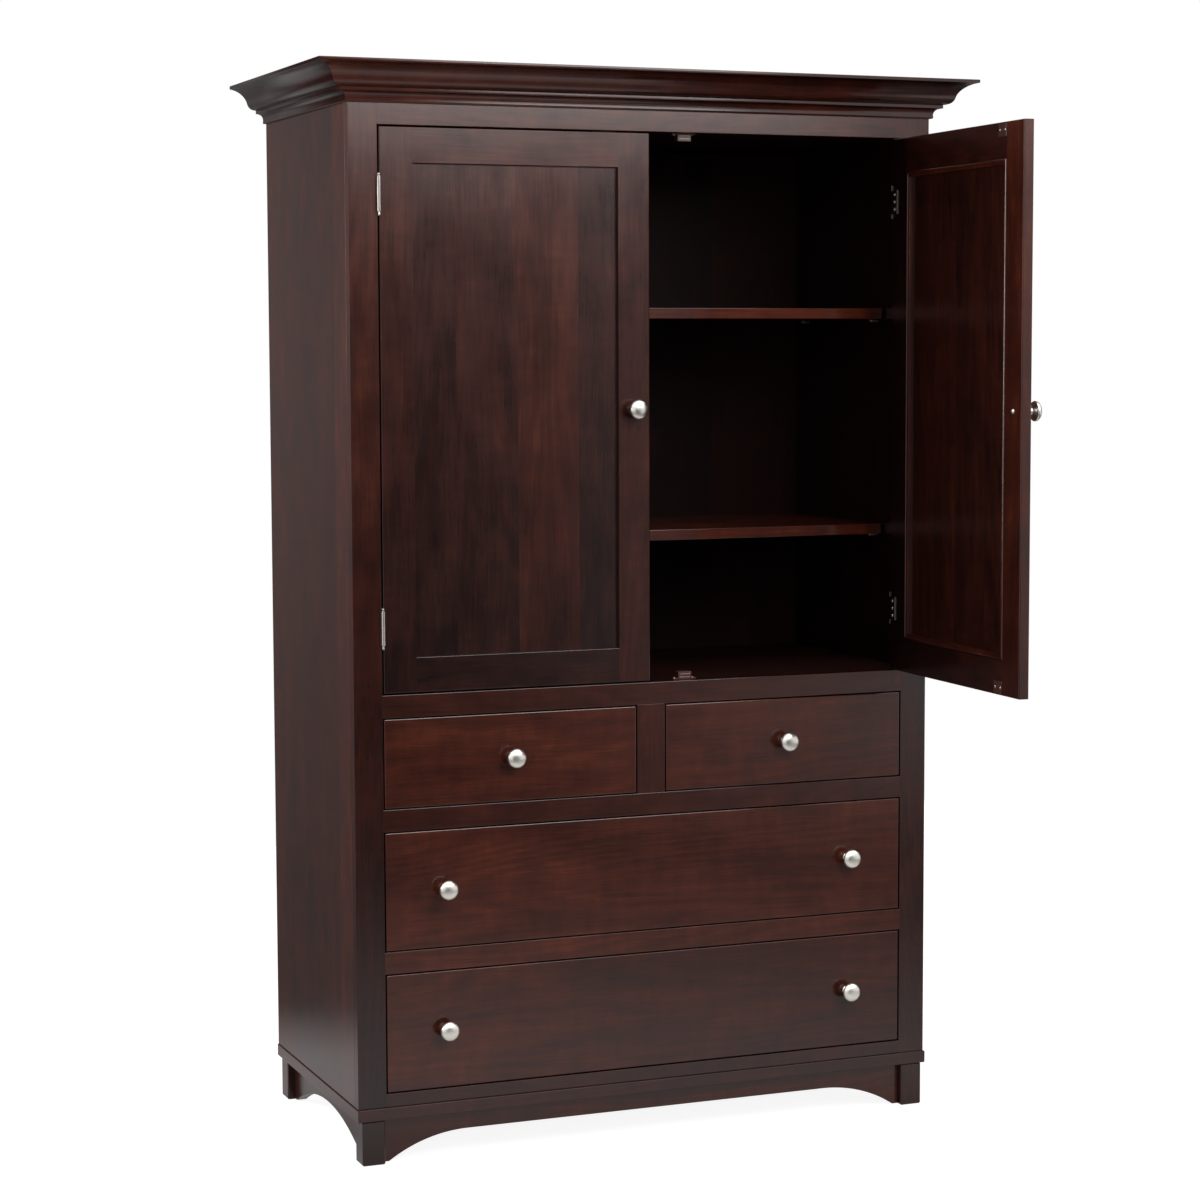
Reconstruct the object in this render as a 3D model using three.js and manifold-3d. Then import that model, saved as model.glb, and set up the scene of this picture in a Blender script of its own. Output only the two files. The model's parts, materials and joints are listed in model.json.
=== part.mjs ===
// A television armoire: a case with two panelled doors over two small and two large drawers.
// Millimetres, +Z up, the front faces -Y. The left door is closed, the right door stands open.

import * as THREE from 'three';
import { mergeVertices } from 'three/addons/utils/BufferGeometryUtils.js';
import Module from 'manifold-3d';

const wasm = await Module();
wasm.setup();

// Case
const CASE_WIDTH = 1120;
const CASE_DEPTH = 525;
const BOARD = 19.5;
const FRONT_BOARD = 19.5;
const BACK_BOARD = 6;

// Face frame: widths of its members and heights of its openings, from the bottom up
const STILE_WIDTH = 52;
const MIDDLE_STILE_WIDTH = 54;
const BOTTOM_RAIL = 24;
const LARGE_OPENING = 214;
const DRAWER_RAIL = 39;
const SMALL_OPENING = 162;
const DOOR_SILL_RAIL = 40;
const DOOR_OPENING = 986;
const TOP_RAIL_BELOW_CROWN = 37;

// Crown moulding: its outline runs up from the case, in shares of its projection and height
const CROWN_HEIGHT = 68;
const CROWN_PROJECTION = 69;
const CROWN_ABOVE_CASE = 6;
const CROWN_FOOT_SHARES = [[0.065, 0], [0.075, 0.1]];
const CROWN_SMALL_COVE_SHARES = [[0.09, 0.25], [0.255, 0.265]];
const CROWN_STEP_SHARES = [[0.28, 0.265], [0.28, 0.345], [0.31, 0.36]];
const CROWN_BELLY_SHARES = [[0.47, 0.37], [0.52, 0.52]];
const CROWN_LARGE_COVE_SHARES = [[0.555, 0.7], [0.74, 0.88], [1, 0.915]];
const CROWN_CURVE_STEPS = 6;

// Base: a board that shows as a band, square legs and arched aprons
const BASE_BOARD = 22;
const BASE_OVERHANG_SIDE = 2;
const BASE_OVERHANG_FRONT = 5;
const LEG_HEIGHT = 79;
const LEG_WIDTH = 42;
const LEG_INSET_SIDE = 6;
const LEG_PROUD_FRONT = 4;
const APRON_SETBACK = 14;
const APRON_LIFT = 1;
const APRON_TOE = 11;
const FRONT_ARCH_HEIGHT = 45.5;
const FRONT_ARCH_RADIUS = 266;
const SIDE_ARCH_HEIGHT = 51;
const ARCH_STEPS = 10;

// Doors
const DOOR_GAP = 3;
const DOOR_STILE = 60;
const DOOR_RAIL = 61.5;
const PANEL_RECESS = 8;
const PANEL_THICKNESS = 6;
const PANEL_PLAY = 0.3;
const GROOVE_DEPTH = 9;
const PANEL_FLOAT = 1;
const DOOR_OPEN_ANGLE = 88;

// Hinges: knuckles on a pin in front of the gap, and leaves that wrap round the wood
const HINGE_GAP = 3.2;
const HINGE_FROM_DOOR_END = 115;
const KNUCKLE_RADIUS = 3.7;
const KNUCKLE_OFF_FACE = 0.2;
const KNUCKLE_COUNT = 5;
const BARREL_LENGTH = 60;
const PIN_RADIUS = 2;
const PIN_PLAY = 0.2;
const KNUCKLE_PLAY = 0.3;
const LEAF_THICKNESS = 1.2;
const LEAF_SEAT = 0.3;
const WRAP_WIDTH = 23;
const WRAP_HEIGHT = 43;
const TIP_TOP_LENGTH = 6;
const TIP_BOTTOM_LENGTH = 9;
const TIP_OUTLINE_SHARES = [[0.55, 0.02], [0.5, 0.25], [0.75, 0.5], [0.6, 0.8], [0, 1]];
const HINGE_SIDES = 16;

// Drawers
const DRAWER_GAP = 2.5;
const DRAWER_SIDE_PLAY = 1.5;
const DRAWER_RUN_PLAY = 0.5;
const DRAWER_TOP_SPACE = 12;
const DRAWER_BOX_DEPTH = 455;
const DRAWER_WALL = 12;
const DRAWER_FLOOR = 9;
const GUIDE_HEIGHT = 40;
const GUIDE_BACK_SPACE = 10;

// Knobs: outline from the face outwards, in shares of radius and projection
const KNOB_RADIUS = 17.5;
const KNOB_PROJECTION = 32;
const KNOB_BASE_SHARES = [[0.46, 0], [0.46, 0.07], [0.33, 0.14], [0.3, 0.45]];
const KNOB_CAP_SHARES = [[0.5, 0.57], [0.9, 0.63], [1, 0.7], [0.97, 0.79], [0.8, 0.9], [0.45, 0.98]];
const KNOB_SIDES = 20;
const LARGE_KNOB_INSET = 111.5;

// Shelves and the pins that carry them, measured up from the deck
const SHELF_TOPS = [266, 676];
const SHELF_SETBACK = 138;
const SHELF_PLAY = 0.5;
const SHELF_PIN_RADIUS = 3;
const SHELF_PIN_LENGTH = 9;
const SHELF_PIN_INSET = 40;
const SHELF_PIN_PLAY = 0.2;
const SHELF_PIN_SIDES = 12;

// Magnetic catches on the deck and under the ceiling
const CATCH_FROM_MIDDLE = 76;
const CATCH_BODY_WIDTH = 26;
const CATCH_BODY_HEIGHT = 14;
const CATCH_BODY_DEPTH = 16;
const CATCH_EAR_WIDTH = 46;
const CATCH_EAR_THICKNESS = 2.5;
const CATCH_EAR_INSET = 2;
const CATCH_BEHIND_DOOR = 2;

// Every cut runs past the faces that it opens by this much
const CUT_OVERRUN = 5;

// Places that follow from the sizes: x from the middle of the case, y from the face, z from the floor
const halfWidth = CASE_WIDTH / 2;
const openingEdge = halfWidth - STILE_WIDTH;
const innerFace = halfWidth - BOARD;
const halfMiddleStile = MIDDLE_STILE_WIDTH / 2;
const backFace = CASE_DEPTH - BACK_BOARD;
const caseBottom = LEG_HEIGHT + BASE_BOARD;
const lowerDrawerLow = caseBottom + BOTTOM_RAIL;
const lowerDrawerHigh = lowerDrawerLow + LARGE_OPENING;
const upperDrawerLow = lowerDrawerHigh + DRAWER_RAIL;
const upperDrawerHigh = upperDrawerLow + LARGE_OPENING;
const smallDrawerLow = upperDrawerHigh + DRAWER_RAIL;
const smallDrawerHigh = smallDrawerLow + SMALL_OPENING;
const deckTop = smallDrawerHigh + DOOR_SILL_RAIL;
const ceiling = deckTop + DOOR_OPENING;
const crownBottom = ceiling + TOP_RAIL_BELOW_CROWN;
const caseTop = crownBottom + CROWN_HEIGHT - CROWN_ABOVE_CASE;

// Finishes
const STAINED_MAPLE = new THREE.MeshStandardMaterial({ color: 0x4a2f2a, roughness: 0.4, metalness: 0 });
const INNER_MAPLE = new THREE.MeshStandardMaterial({ color: 0x2c1a16, roughness: 0.5, metalness: 0 });
const DRAWER_WOOD = new THREE.MeshStandardMaterial({ color: 0xb8946a, roughness: 0.55, metalness: 0 });
const NICKEL = new THREE.MeshStandardMaterial({ color: 0xb9b4ac, roughness: 0.3, metalness: 1 });
const BROWN_PLASTIC = new THREE.MeshStandardMaterial({ color: 0x4b3027, roughness: 0.5, metalness: 0 });

// Closed geometry: shared corners, no empty triangles, faces pointing out
function closed(geometry) {
  geometry.deleteAttribute('normal');
  geometry.deleteAttribute('uv');
  const merged = mergeVertices(geometry);
  const position = merged.getAttribute('position');
  const corners = [0, 1, 2].map(() => new THREE.Vector3());
  const faces = [];
  let volume = 0;
  for (let i = 0; i < merged.index.count; i += 3) {
    const face = corners.map((corner, k) => merged.index.getX(i + k));
    if (new Set(face).size === 3) {
      face.forEach((vertex, k) => corners[k].fromBufferAttribute(position, vertex));
      volume += corners[0].dot(corners[1].clone().cross(corners[2]));
      faces.push(face);
    }
  }
  const turned = volume < 0 ? faces.map((face) => face.reverse()) : faces;
  merged.setIndex(turned.flat());
  return merged;
}

// A board or block between two places on each axis
function block(x, y, z) {
  const size = [x, y, z].map(([low, high]) => high - low);
  const middle = [x, y, z].map(([low, high]) => (low + high) / 2);
  return closed(new THREE.BoxGeometry(...size).translate(...middle));
}

// The same block on either hand: hand 1 keeps x, hand -1 mirrors it
function handedBlock(hand, x, y, z) {
  const ends = x.map((value) => value * hand).sort((a, b) => a - b);
  return block(ends, y, z);
}

// An outline carried along a length, each point set in place by a rule
function carried(outline, place) {
  const geometry = new THREE.ExtrudeGeometry(outline, {
    depth: 1, steps: 1, bevelEnabled: false, curveSegments: CROWN_CURVE_STEPS,
  });
  const position = geometry.getAttribute('position');
  for (let i = 0; i < position.count; i += 1) {
    position.setXYZ(i, ...place(position.getX(i), position.getY(i), position.getZ(i)));
  }
  return closed(geometry);
}

function solid(geometry) {
  return new wasm.Manifold(new wasm.Mesh({
    numProp: 3,
    vertProperties: new Float32Array(geometry.getAttribute('position').array),
    triVerts: new Uint32Array(geometry.index.array),
  }));
}

function fromSolid(shape) {
  const mesh = shape.getMesh();
  const geometry = new THREE.BufferGeometry();
  geometry.setAttribute('position', new THREE.BufferAttribute(mesh.vertProperties, mesh.numProp));
  geometry.setIndex(new THREE.BufferAttribute(mesh.triVerts, 1));
  return geometry;
}

function joined(geometries) {
  return fromSolid(geometries.map(solid).reduce((whole, next) => whole.add(next)));
}

function cut(geometry, tools) {
  return fromSolid(tools.map(solid).reduce((whole, tool) => whole.subtract(tool), solid(geometry)));
}

function piece(name, geometry, material) {
  const mesh = new THREE.Mesh(geometry, material);
  mesh.name = name;
  return mesh;
}

const sideName = (hand) => (hand < 0 ? 'left' : 'right');
const HANDS = [-1, 1];

const armoire = new THREE.Group();

// Side panels stand behind the face frame and carry the shelf pins
function shelfPin(hand, y, shelfUnderside) {
  const pin = new THREE.CylinderGeometry(
    SHELF_PIN_RADIUS, SHELF_PIN_RADIUS, SHELF_PIN_LENGTH + BOARD / 2, SHELF_PIN_SIDES,
  );
  pin.rotateZ(Math.PI / 2);
  const middle = innerFace + (BOARD / 2 - SHELF_PIN_LENGTH) / 2;
  pin.translate(hand * middle, y, shelfUnderside - SHELF_PIN_PLAY - SHELF_PIN_RADIUS);
  return closed(pin);
}

const shelfBack = backFace - SHELF_PLAY;
const pinRows = [SHELF_SETBACK + SHELF_PIN_INSET, shelfBack - SHELF_PIN_INSET];
for (const hand of HANDS) {
  const panel = handedBlock(hand, [innerFace, halfWidth], [FRONT_BOARD, CASE_DEPTH], [caseBottom, caseTop]);
  const pins = SHELF_TOPS.flatMap((top) => pinRows.map((y) => shelfPin(hand, y, deckTop + top - BOARD)));
  armoire.add(piece(`side_panel_${sideName(hand)}`, joined([panel, ...pins]), STAINED_MAPLE));
}

// Boards across the case
const across = [-innerFace, innerFace];
const boardDepth = [FRONT_BOARD, backFace];
armoire.add(piece('top_board', block(across, boardDepth, [ceiling, ceiling + BOARD]), INNER_MAPLE));
armoire.add(piece('deck_board', block(across, boardDepth, [deckTop - BOARD, deckTop]), INNER_MAPLE));

armoire.add(piece('back_panel', block(across, [backFace, CASE_DEPTH], [caseBottom, caseTop]), INNER_MAPLE));

// Drawer guides fill the space between the side panel and the edge of the opening
const guideDepth = [FRONT_BOARD, backFace - GUIDE_BACK_SPACE];
function sideGuides(runLevel) {
  return HANDS.map((hand) => handedBlock(
    hand, [openingEdge, innerFace], guideDepth, [runLevel - BOARD / 2, runLevel + GUIDE_HEIGHT],
  ));
}

const lowerDustBoard = block(across, boardDepth, [upperDrawerLow - BOARD, upperDrawerLow]);
armoire.add(piece('dust_board_lower', joined([lowerDustBoard, ...sideGuides(upperDrawerLow)]), INNER_MAPLE));

const upperDustBoard = block(across, boardDepth, [smallDrawerLow - BOARD, smallDrawerLow]);
const guideRoot = smallDrawerLow - BOARD / 2;
const middleGuide = block(
  [-halfMiddleStile, halfMiddleStile], guideDepth, [guideRoot, smallDrawerLow + GUIDE_HEIGHT],
);
const partition = block([-BOARD / 2, BOARD / 2], guideDepth, [guideRoot, deckTop - BOARD]);
armoire.add(piece(
  'dust_board_upper',
  joined([upperDustBoard, ...sideGuides(smallDrawerLow), middleGuide, partition]),
  INNER_MAPLE,
));

// Base board: its edge is the band under the case, and the case floor is glued on it
const baseBoard = block(
  [-halfWidth - BASE_OVERHANG_SIDE, halfWidth + BASE_OVERHANG_SIDE],
  [-BASE_OVERHANG_FRONT, CASE_DEPTH],
  [LEG_HEIGHT, caseBottom],
);
const caseFloor = block(across, boardDepth, [caseBottom - BASE_BOARD / 2, lowerDrawerLow]);
const baseParts = [baseBoard, caseFloor, ...sideGuides(lowerDrawerLow)];
armoire.add(piece('base_board', joined(baseParts), STAINED_MAPLE));

// Face frame
for (const hand of HANDS) {
  const stile = handedBlock(hand, [openingEdge, halfWidth], [0, FRONT_BOARD], [caseBottom, caseTop]);
  armoire.add(piece(`face_stile_${sideName(hand)}`, stile, STAINED_MAPLE));
}

const RAILS = {
  face_rail_bottom: [caseBottom, lowerDrawerLow],
  face_rail_between_large_drawers: [lowerDrawerHigh, upperDrawerLow],
  face_rail_below_small_drawers: [upperDrawerHigh, smallDrawerLow],
  face_rail_below_doors: [smallDrawerHigh, deckTop],
  face_rail_top: [ceiling, caseTop],
};
for (const [name, heights] of Object.entries(RAILS)) {
  const rail = block([-openingEdge, openingEdge], [0, FRONT_BOARD], heights);
  armoire.add(piece(name, rail, STAINED_MAPLE));
}

const middleStile = block(
  [-halfMiddleStile, halfMiddleStile], [0, FRONT_BOARD], [smallDrawerLow, smallDrawerHigh],
);
armoire.add(piece('face_stile_middle', middleStile, STAINED_MAPLE));

// Crown moulding: one outline, mitred at the front corners
function crownOutline() {
  const scaled = (shares) => shares.map(([out, up]) => [out * CROWN_PROJECTION, up * CROWN_HEIGHT]);
  const outline = new THREE.Shape();
  outline.moveTo(0, 0);
  scaled(CROWN_FOOT_SHARES).forEach((point) => outline.lineTo(...point));
  outline.quadraticCurveTo(...scaled(CROWN_SMALL_COVE_SHARES).flat());
  scaled(CROWN_STEP_SHARES).forEach((point) => outline.lineTo(...point));
  outline.quadraticCurveTo(...scaled(CROWN_BELLY_SHARES).flat());
  outline.bezierCurveTo(...scaled(CROWN_LARGE_COVE_SHARES).flat());
  outline.lineTo(CROWN_PROJECTION, CROWN_HEIGHT);
  outline.lineTo(0, CROWN_HEIGHT);
  return outline;
}

const crownFront = carried(crownOutline(), (out, up, along) => [
  along > 0 ? halfWidth + out : -halfWidth - out, -out, crownBottom + up,
]);
armoire.add(piece('crown_front', crownFront, STAINED_MAPLE));
for (const hand of HANDS) {
  const crownReturn = carried(crownOutline(), (out, up, along) => [
    hand * (halfWidth + out), along > 0 ? CASE_DEPTH : -out, crownBottom + up,
  ]);
  armoire.add(piece(`crown_return_${sideName(hand)}`, crownReturn, STAINED_MAPLE));
}

// Legs
const legOuter = halfWidth - LEG_INSET_SIDE;
const frontLegDepth = [-LEG_PROUD_FRONT, LEG_WIDTH - LEG_PROUD_FRONT];
const backLegDepth = [CASE_DEPTH - LEG_WIDTH, CASE_DEPTH];
for (const [row, depth] of Object.entries({ front: frontLegDepth, back: backLegDepth })) {
  for (const hand of HANDS) {
    const leg = handedBlock(hand, [legOuter - LEG_WIDTH, legOuter], depth, [0, LEG_HEIGHT]);
    armoire.add(piece(`leg_${row}_${sideName(hand)}`, leg, STAINED_MAPLE));
  }
}

// Front apron: level in the middle, and a round arc down to a toe beside each leg
const frontApronEnd = legOuter - LEG_WIDTH;
const frontArchDrop = FRONT_ARCH_HEIGHT - APRON_LIFT;
const frontArcRun = Math.sqrt(frontArchDrop * (FRONT_ARCH_RADIUS * 2 - frontArchDrop));
const frontArcStart = frontApronEnd - APRON_TOE - frontArcRun;
function frontApronOutline() {
  const outline = new THREE.Shape();
  outline.moveTo(frontApronEnd, LEG_HEIGHT);
  outline.lineTo(-frontApronEnd, LEG_HEIGHT);
  outline.lineTo(-frontApronEnd, APRON_LIFT);
  for (const hand of HANDS) {
    for (let step = 0; step <= ARCH_STEPS; step += 1) {
      const share = hand < 0 ? 1 - step / ARCH_STEPS : step / ARCH_STEPS;
      const run = frontArcRun * share;
      const drop = FRONT_ARCH_RADIUS - Math.sqrt(FRONT_ARCH_RADIUS ** 2 - run ** 2);
      outline.lineTo(hand * (frontArcStart + run), FRONT_ARCH_HEIGHT - drop);
    }
  }
  outline.lineTo(frontApronEnd, APRON_LIFT);
  return outline;
}

const frontApronFace = APRON_SETBACK - LEG_PROUD_FRONT;
const frontApron = carried(frontApronOutline(), (x, z, along) => [
  x, frontApronFace + along * FRONT_BOARD, z,
]);
armoire.add(piece('apron_front', frontApron, STAINED_MAPLE));

// Side aprons: one low arc from toe to toe
const sideApronDepth = [frontLegDepth[1], backLegDepth[0]];
function sideApronOutline() {
  const [near, far] = sideApronDepth;
  const middle = (near + far) / 2;
  const halfRun = (far - near) / 2 - APRON_TOE;
  const rise = SIDE_ARCH_HEIGHT - APRON_LIFT;
  const radius = (halfRun ** 2 + rise ** 2) / (rise * 2);
  const halfAngle = Math.asin(halfRun / radius);
  const outline = new THREE.Shape();
  outline.moveTo(far, LEG_HEIGHT);
  outline.lineTo(near, LEG_HEIGHT);
  outline.lineTo(near, APRON_LIFT);
  for (let step = 0; step <= ARCH_STEPS * 2; step += 1) {
    const angle = halfAngle * (step / ARCH_STEPS - 1);
    outline.lineTo(middle + radius * Math.sin(angle), SIDE_ARCH_HEIGHT - radius * (1 - Math.cos(angle)));
  }
  outline.lineTo(far, APRON_LIFT);
  return outline;
}

const sideApronFace = legOuter - APRON_SETBACK;
for (const hand of HANDS) {
  const apron = carried(sideApronOutline(), (y, z, along) => [
    hand * (sideApronFace - along * FRONT_BOARD), y, z,
  ]);
  armoire.add(piece(`apron_${sideName(hand)}`, apron, STAINED_MAPLE));
}

// Shelves rest on the pins of the side panels
['lower', 'upper'].forEach((level, i) => {
  const top = deckTop + SHELF_TOPS[i];
  const shelfEnd = innerFace - SHELF_PLAY;
  const shelf = block([-shelfEnd, shelfEnd], [SHELF_SETBACK, shelfBack], [top - BOARD, top]);
  armoire.add(piece(`shelf_${level}`, shelf, INNER_MAPLE));
});

// Magnetic catches: an eared plate on the board, and the body that the door's strike meets
const catchFront = FRONT_BOARD + CATCH_BEHIND_DOOR;
for (const hand of HANDS) {
  for (const [level, plane, up] of [['bottom', deckTop, 1], ['top', ceiling, -1]]) {
    const layer = (height) => [plane, plane + up * height].sort((a, b) => a - b);
    const centred = (width) => [CATCH_FROM_MIDDLE - width / 2, CATCH_FROM_MIDDLE + width / 2];
    const body = handedBlock(
      hand, centred(CATCH_BODY_WIDTH), [catchFront, catchFront + CATCH_BODY_DEPTH], layer(CATCH_BODY_HEIGHT),
    );
    const ears = handedBlock(
      hand,
      centred(CATCH_EAR_WIDTH),
      [catchFront + CATCH_EAR_INSET, catchFront + CATCH_BODY_DEPTH - CATCH_EAR_INSET],
      layer(CATCH_EAR_THICKNESS),
    );
    armoire.add(piece(`catch_${level}_${sideName(hand)}`, joined([body, ears]), BROWN_PLASTIC));
  }
}

// Knob: a turned mushroom, its axis along -Y and its base at the origin
function knobGeometry() {
  const outline = [[0, 0], ...KNOB_BASE_SHARES, ...KNOB_CAP_SHARES, [0, 1]].map(
    ([out, along]) => new THREE.Vector2(out * KNOB_RADIUS, along * KNOB_PROJECTION),
  );
  return closed(new THREE.LatheGeometry(outline, KNOB_SIDES).rotateX(Math.PI));
}

function knob(name, x, y, z) {
  const turned = piece(name, knobGeometry(), NICKEL);
  turned.position.set(x, y, z);
  return turned;
}

// Drawers: an inset front, a box behind it, and its knobs
function drawer(name, [left, right], [low, high], knobPlaces) {
  const front = block(
    [left + DRAWER_GAP, right - DRAWER_GAP], [0, FRONT_BOARD], [low + DRAWER_GAP, high - DRAWER_GAP],
  );
  armoire.add(piece(`drawer_front_${name}`, front, STAINED_MAPLE));
  const x = [left + DRAWER_SIDE_PLAY, right - DRAWER_SIDE_PLAY];
  const y = [FRONT_BOARD, FRONT_BOARD + DRAWER_BOX_DEPTH];
  const z = [low + DRAWER_RUN_PLAY, high - DRAWER_TOP_SPACE];
  const hollow = block(
    [x[0] + DRAWER_WALL, x[1] - DRAWER_WALL],
    [y[0] + DRAWER_WALL, y[1] - DRAWER_WALL],
    [z[0] + DRAWER_FLOOR, z[1] + CUT_OVERRUN],
  );
  armoire.add(piece(`drawer_box_${name}`, cut(block(x, y, z), [hollow]), DRAWER_WOOD));
  for (const [knobName, place] of Object.entries(knobPlaces)) {
    armoire.add(knob(`knob_${knobName}`, place, 0, (low + high) / 2));
  }
}

const smallOpeningMiddle = (openingEdge + halfMiddleStile) / 2;
const largeKnob = openingEdge - LARGE_KNOB_INSET;
for (const hand of HANDS) {
  const side = sideName(hand);
  const sides = [halfMiddleStile, openingEdge].map((value) => value * hand).sort((a, b) => a - b);
  drawer(`small_${side}`, sides, [smallDrawerLow, smallDrawerHigh], {
    [`small_drawer_${side}`]: hand * smallOpeningMiddle,
  });
}
const LARGE_DRAWERS = {
  upper: [upperDrawerLow, upperDrawerHigh],
  lower: [lowerDrawerLow, lowerDrawerHigh],
};
for (const [level, heights] of Object.entries(LARGE_DRAWERS)) {
  drawer(`large_${level}`, [-openingEdge, openingEdge], heights, {
    [`large_drawer_${level}_left`]: -largeKnob,
    [`large_drawer_${level}_right`]: largeKnob,
  });
}

// Doors: everything is placed from the hinge pin, with x running from the pin towards the other door
const pinX = openingEdge - HINGE_GAP / 2;
const pinY = -KNUCKLE_RADIUS - KNUCKLE_OFF_FACE;
const faceY = -pinY;
const doorBack = faceY + FRONT_BOARD;
const doorNear = HINGE_GAP / 2;
const doorFar = pinX - DOOR_GAP / 2;
const doorLow = deckTop + DOOR_GAP;
const doorHigh = ceiling - DOOR_GAP;
const hingeHeights = { lower: doorLow + HINGE_FROM_DOOR_END, upper: doorHigh - HINGE_FROM_DOOR_END };

function doorFrame(inward) {
  const sight = [doorNear + DOOR_STILE, doorFar - DOOR_STILE];
  const sightHeights = [doorLow + DOOR_RAIL, doorHigh - DOOR_RAIL];
  const outer = handedBlock(inward, [doorNear, doorFar], [faceY, doorBack], [doorLow, doorHigh]);
  const window = handedBlock(inward, sight, [faceY - CUT_OVERRUN, doorBack + CUT_OVERRUN], sightHeights);
  const panelFace = faceY + PANEL_RECESS;
  const groove = handedBlock(
    inward,
    [sight[0] - GROOVE_DEPTH, sight[1] + GROOVE_DEPTH],
    [panelFace - PANEL_PLAY, panelFace + PANEL_THICKNESS + PANEL_PLAY],
    [sightHeights[0] - GROOVE_DEPTH, sightHeights[1] + GROOVE_DEPTH],
  );
  const tongue = GROOVE_DEPTH - PANEL_FLOAT;
  const panel = handedBlock(
    inward,
    [sight[0] - tongue, sight[1] + tongue],
    [panelFace, panelFace + PANEL_THICKNESS],
    [sightHeights[0] - tongue, sightHeights[1] + tongue],
  );
  return { frame: cut(outer, [window, groove]), panel };
}

// Knuckles run from the bottom of the barrel up, even ones on the frame leaf and odd ones on the door leaf
const knuckleLength = BARREL_LENGTH / KNUCKLE_COUNT;
function knuckleSpan(i) {
  const low = -BARREL_LENGTH / 2 + knuckleLength * i;
  const playLow = i > 0 ? KNUCKLE_PLAY / 2 : 0;
  const playHigh = i < KNUCKLE_COUNT - 1 ? KNUCKLE_PLAY / 2 : 0;
  return [low + playLow, low + knuckleLength - playHigh];
}
const knucklesOf = (remainder) => [...Array(KNUCKLE_COUNT).keys()]
  .filter((i) => i % 2 === remainder)
  .map(knuckleSpan);

// A leaf: a strip on the edge of the wood, a flap wrapped behind it, and a tab to each of its knuckles
const leafStart = faceY + KNUCKLE_OFF_FACE;
function leafPlates(hand, near, far, back, flapEnd, knuckles) {
  const strip = handedBlock(
    hand, [near, far], [leafStart, back + LEAF_THICKNESS], [-BARREL_LENGTH / 2, BARREL_LENGTH / 2],
  );
  const flap = handedBlock(
    hand, [near, flapEnd], [back, back + LEAF_THICKNESS], [-WRAP_HEIGHT / 2, WRAP_HEIGHT / 2],
  );
  const tabs = knuckles.map((span) => handedBlock(hand, [near, far], [0, leafStart + LEAF_THICKNESS], span));
  return [strip, flap, ...tabs];
}

// The frame leaf holds the pin, so its knuckles, pin and tips are one turned piece
function pinAndTips() {
  const tip = (length, end, up) => TIP_OUTLINE_SHARES.map(
    ([out, along]) => [out * KNUCKLE_RADIUS, end + up * along * length],
  );
  const barrel = knucklesOf(0).flatMap(([low, high], i, all) => [
    ...(i > 0 ? [[PIN_RADIUS, low]] : []),
    [KNUCKLE_RADIUS, low],
    [KNUCKLE_RADIUS, high],
    ...(i < all.length - 1 ? [[PIN_RADIUS, high]] : []),
  ]);
  const outline = [
    ...tip(TIP_BOTTOM_LENGTH, -BARREL_LENGTH / 2, -1).reverse(),
    ...barrel,
    ...tip(TIP_TOP_LENGTH, BARREL_LENGTH / 2, 1),
  ].map((point) => new THREE.Vector2(...point));
  return closed(new THREE.LatheGeometry(outline, HINGE_SIDES).rotateX(Math.PI / 2));
}

function frameLeaf(inward) {
  const near = -HINGE_GAP / 2;
  const plates = leafPlates(
    inward, near + LEAF_THICKNESS, near, doorBack, near - WRAP_WIDTH, knucklesOf(0),
  );
  return joined([pinAndTips(), ...plates]);
}

function doorLeaf(inward) {
  const far = doorNear - LEAF_SEAT;
  const near = far - LEAF_THICKNESS;
  const plates = leafPlates(
    inward, near, far, doorBack + LEAF_SEAT, near + WRAP_WIDTH, knucklesOf(1),
  );
  const rod = (radius, [low, high]) => closed(
    new THREE.CylinderGeometry(radius, radius, high - low, HINGE_SIDES)
      .rotateX(Math.PI / 2)
      .translate(0, 0, (low + high) / 2),
  );
  const rings = knucklesOf(1).map((span) => rod(KNUCKLE_RADIUS, span));
  const bore = rod(PIN_RADIUS + PIN_PLAY, [-BARREL_LENGTH / 2, BARREL_LENGTH / 2]);
  return cut(joined([...plates, ...rings]), [bore]);
}

for (const hand of HANDS) {
  const side = sideName(hand);
  const inward = -hand;
  const door = new THREE.Group();
  door.position.set(hand * pinX, pinY, 0);
  door.rotation.z = hand > 0 ? THREE.MathUtils.degToRad(DOOR_OPEN_ANGLE) : 0;
  const { frame, panel } = doorFrame(inward);
  door.add(piece(`door_frame_${side}`, frame, STAINED_MAPLE));
  door.add(piece(`door_panel_${side}`, panel, STAINED_MAPLE));
  const knobX = inward * (doorFar - DOOR_STILE / 2);
  door.add(knob(`knob_door_${side}`, knobX, faceY - LEAF_SEAT, (doorLow + doorHigh) / 2));
  for (const [level, height] of Object.entries(hingeHeights)) {
    const onDoor = piece(`hinge_${level}_${side}_door_leaf`, doorLeaf(inward), NICKEL);
    onDoor.position.z = height;
    door.add(onDoor);
    const onFrame = piece(`hinge_${level}_${side}_frame_leaf`, frameLeaf(inward), NICKEL);
    onFrame.position.set(hand * pinX, pinY, height);
    armoire.add(onFrame);
  }
  armoire.add(door);
}

// The origin is on the floor, under the middle of the armoire as it stands with its door open
const bounds = new THREE.Box3().setFromObject(armoire, true);
armoire.position.y = -(bounds.min.y + bounds.max.y) / 2;

export default armoire;
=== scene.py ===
# %% [markdown]
# # A television armoire, piece by piece
# The armoire is a tall case with two panelled doors over four drawers, on square legs with arched aprons. A
# fixed model of it is loaded first. It gives every board its size and place, and says what moves with what.
# Each piece is then made again with the detail a photograph would show, in metres and in the same place.

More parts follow.
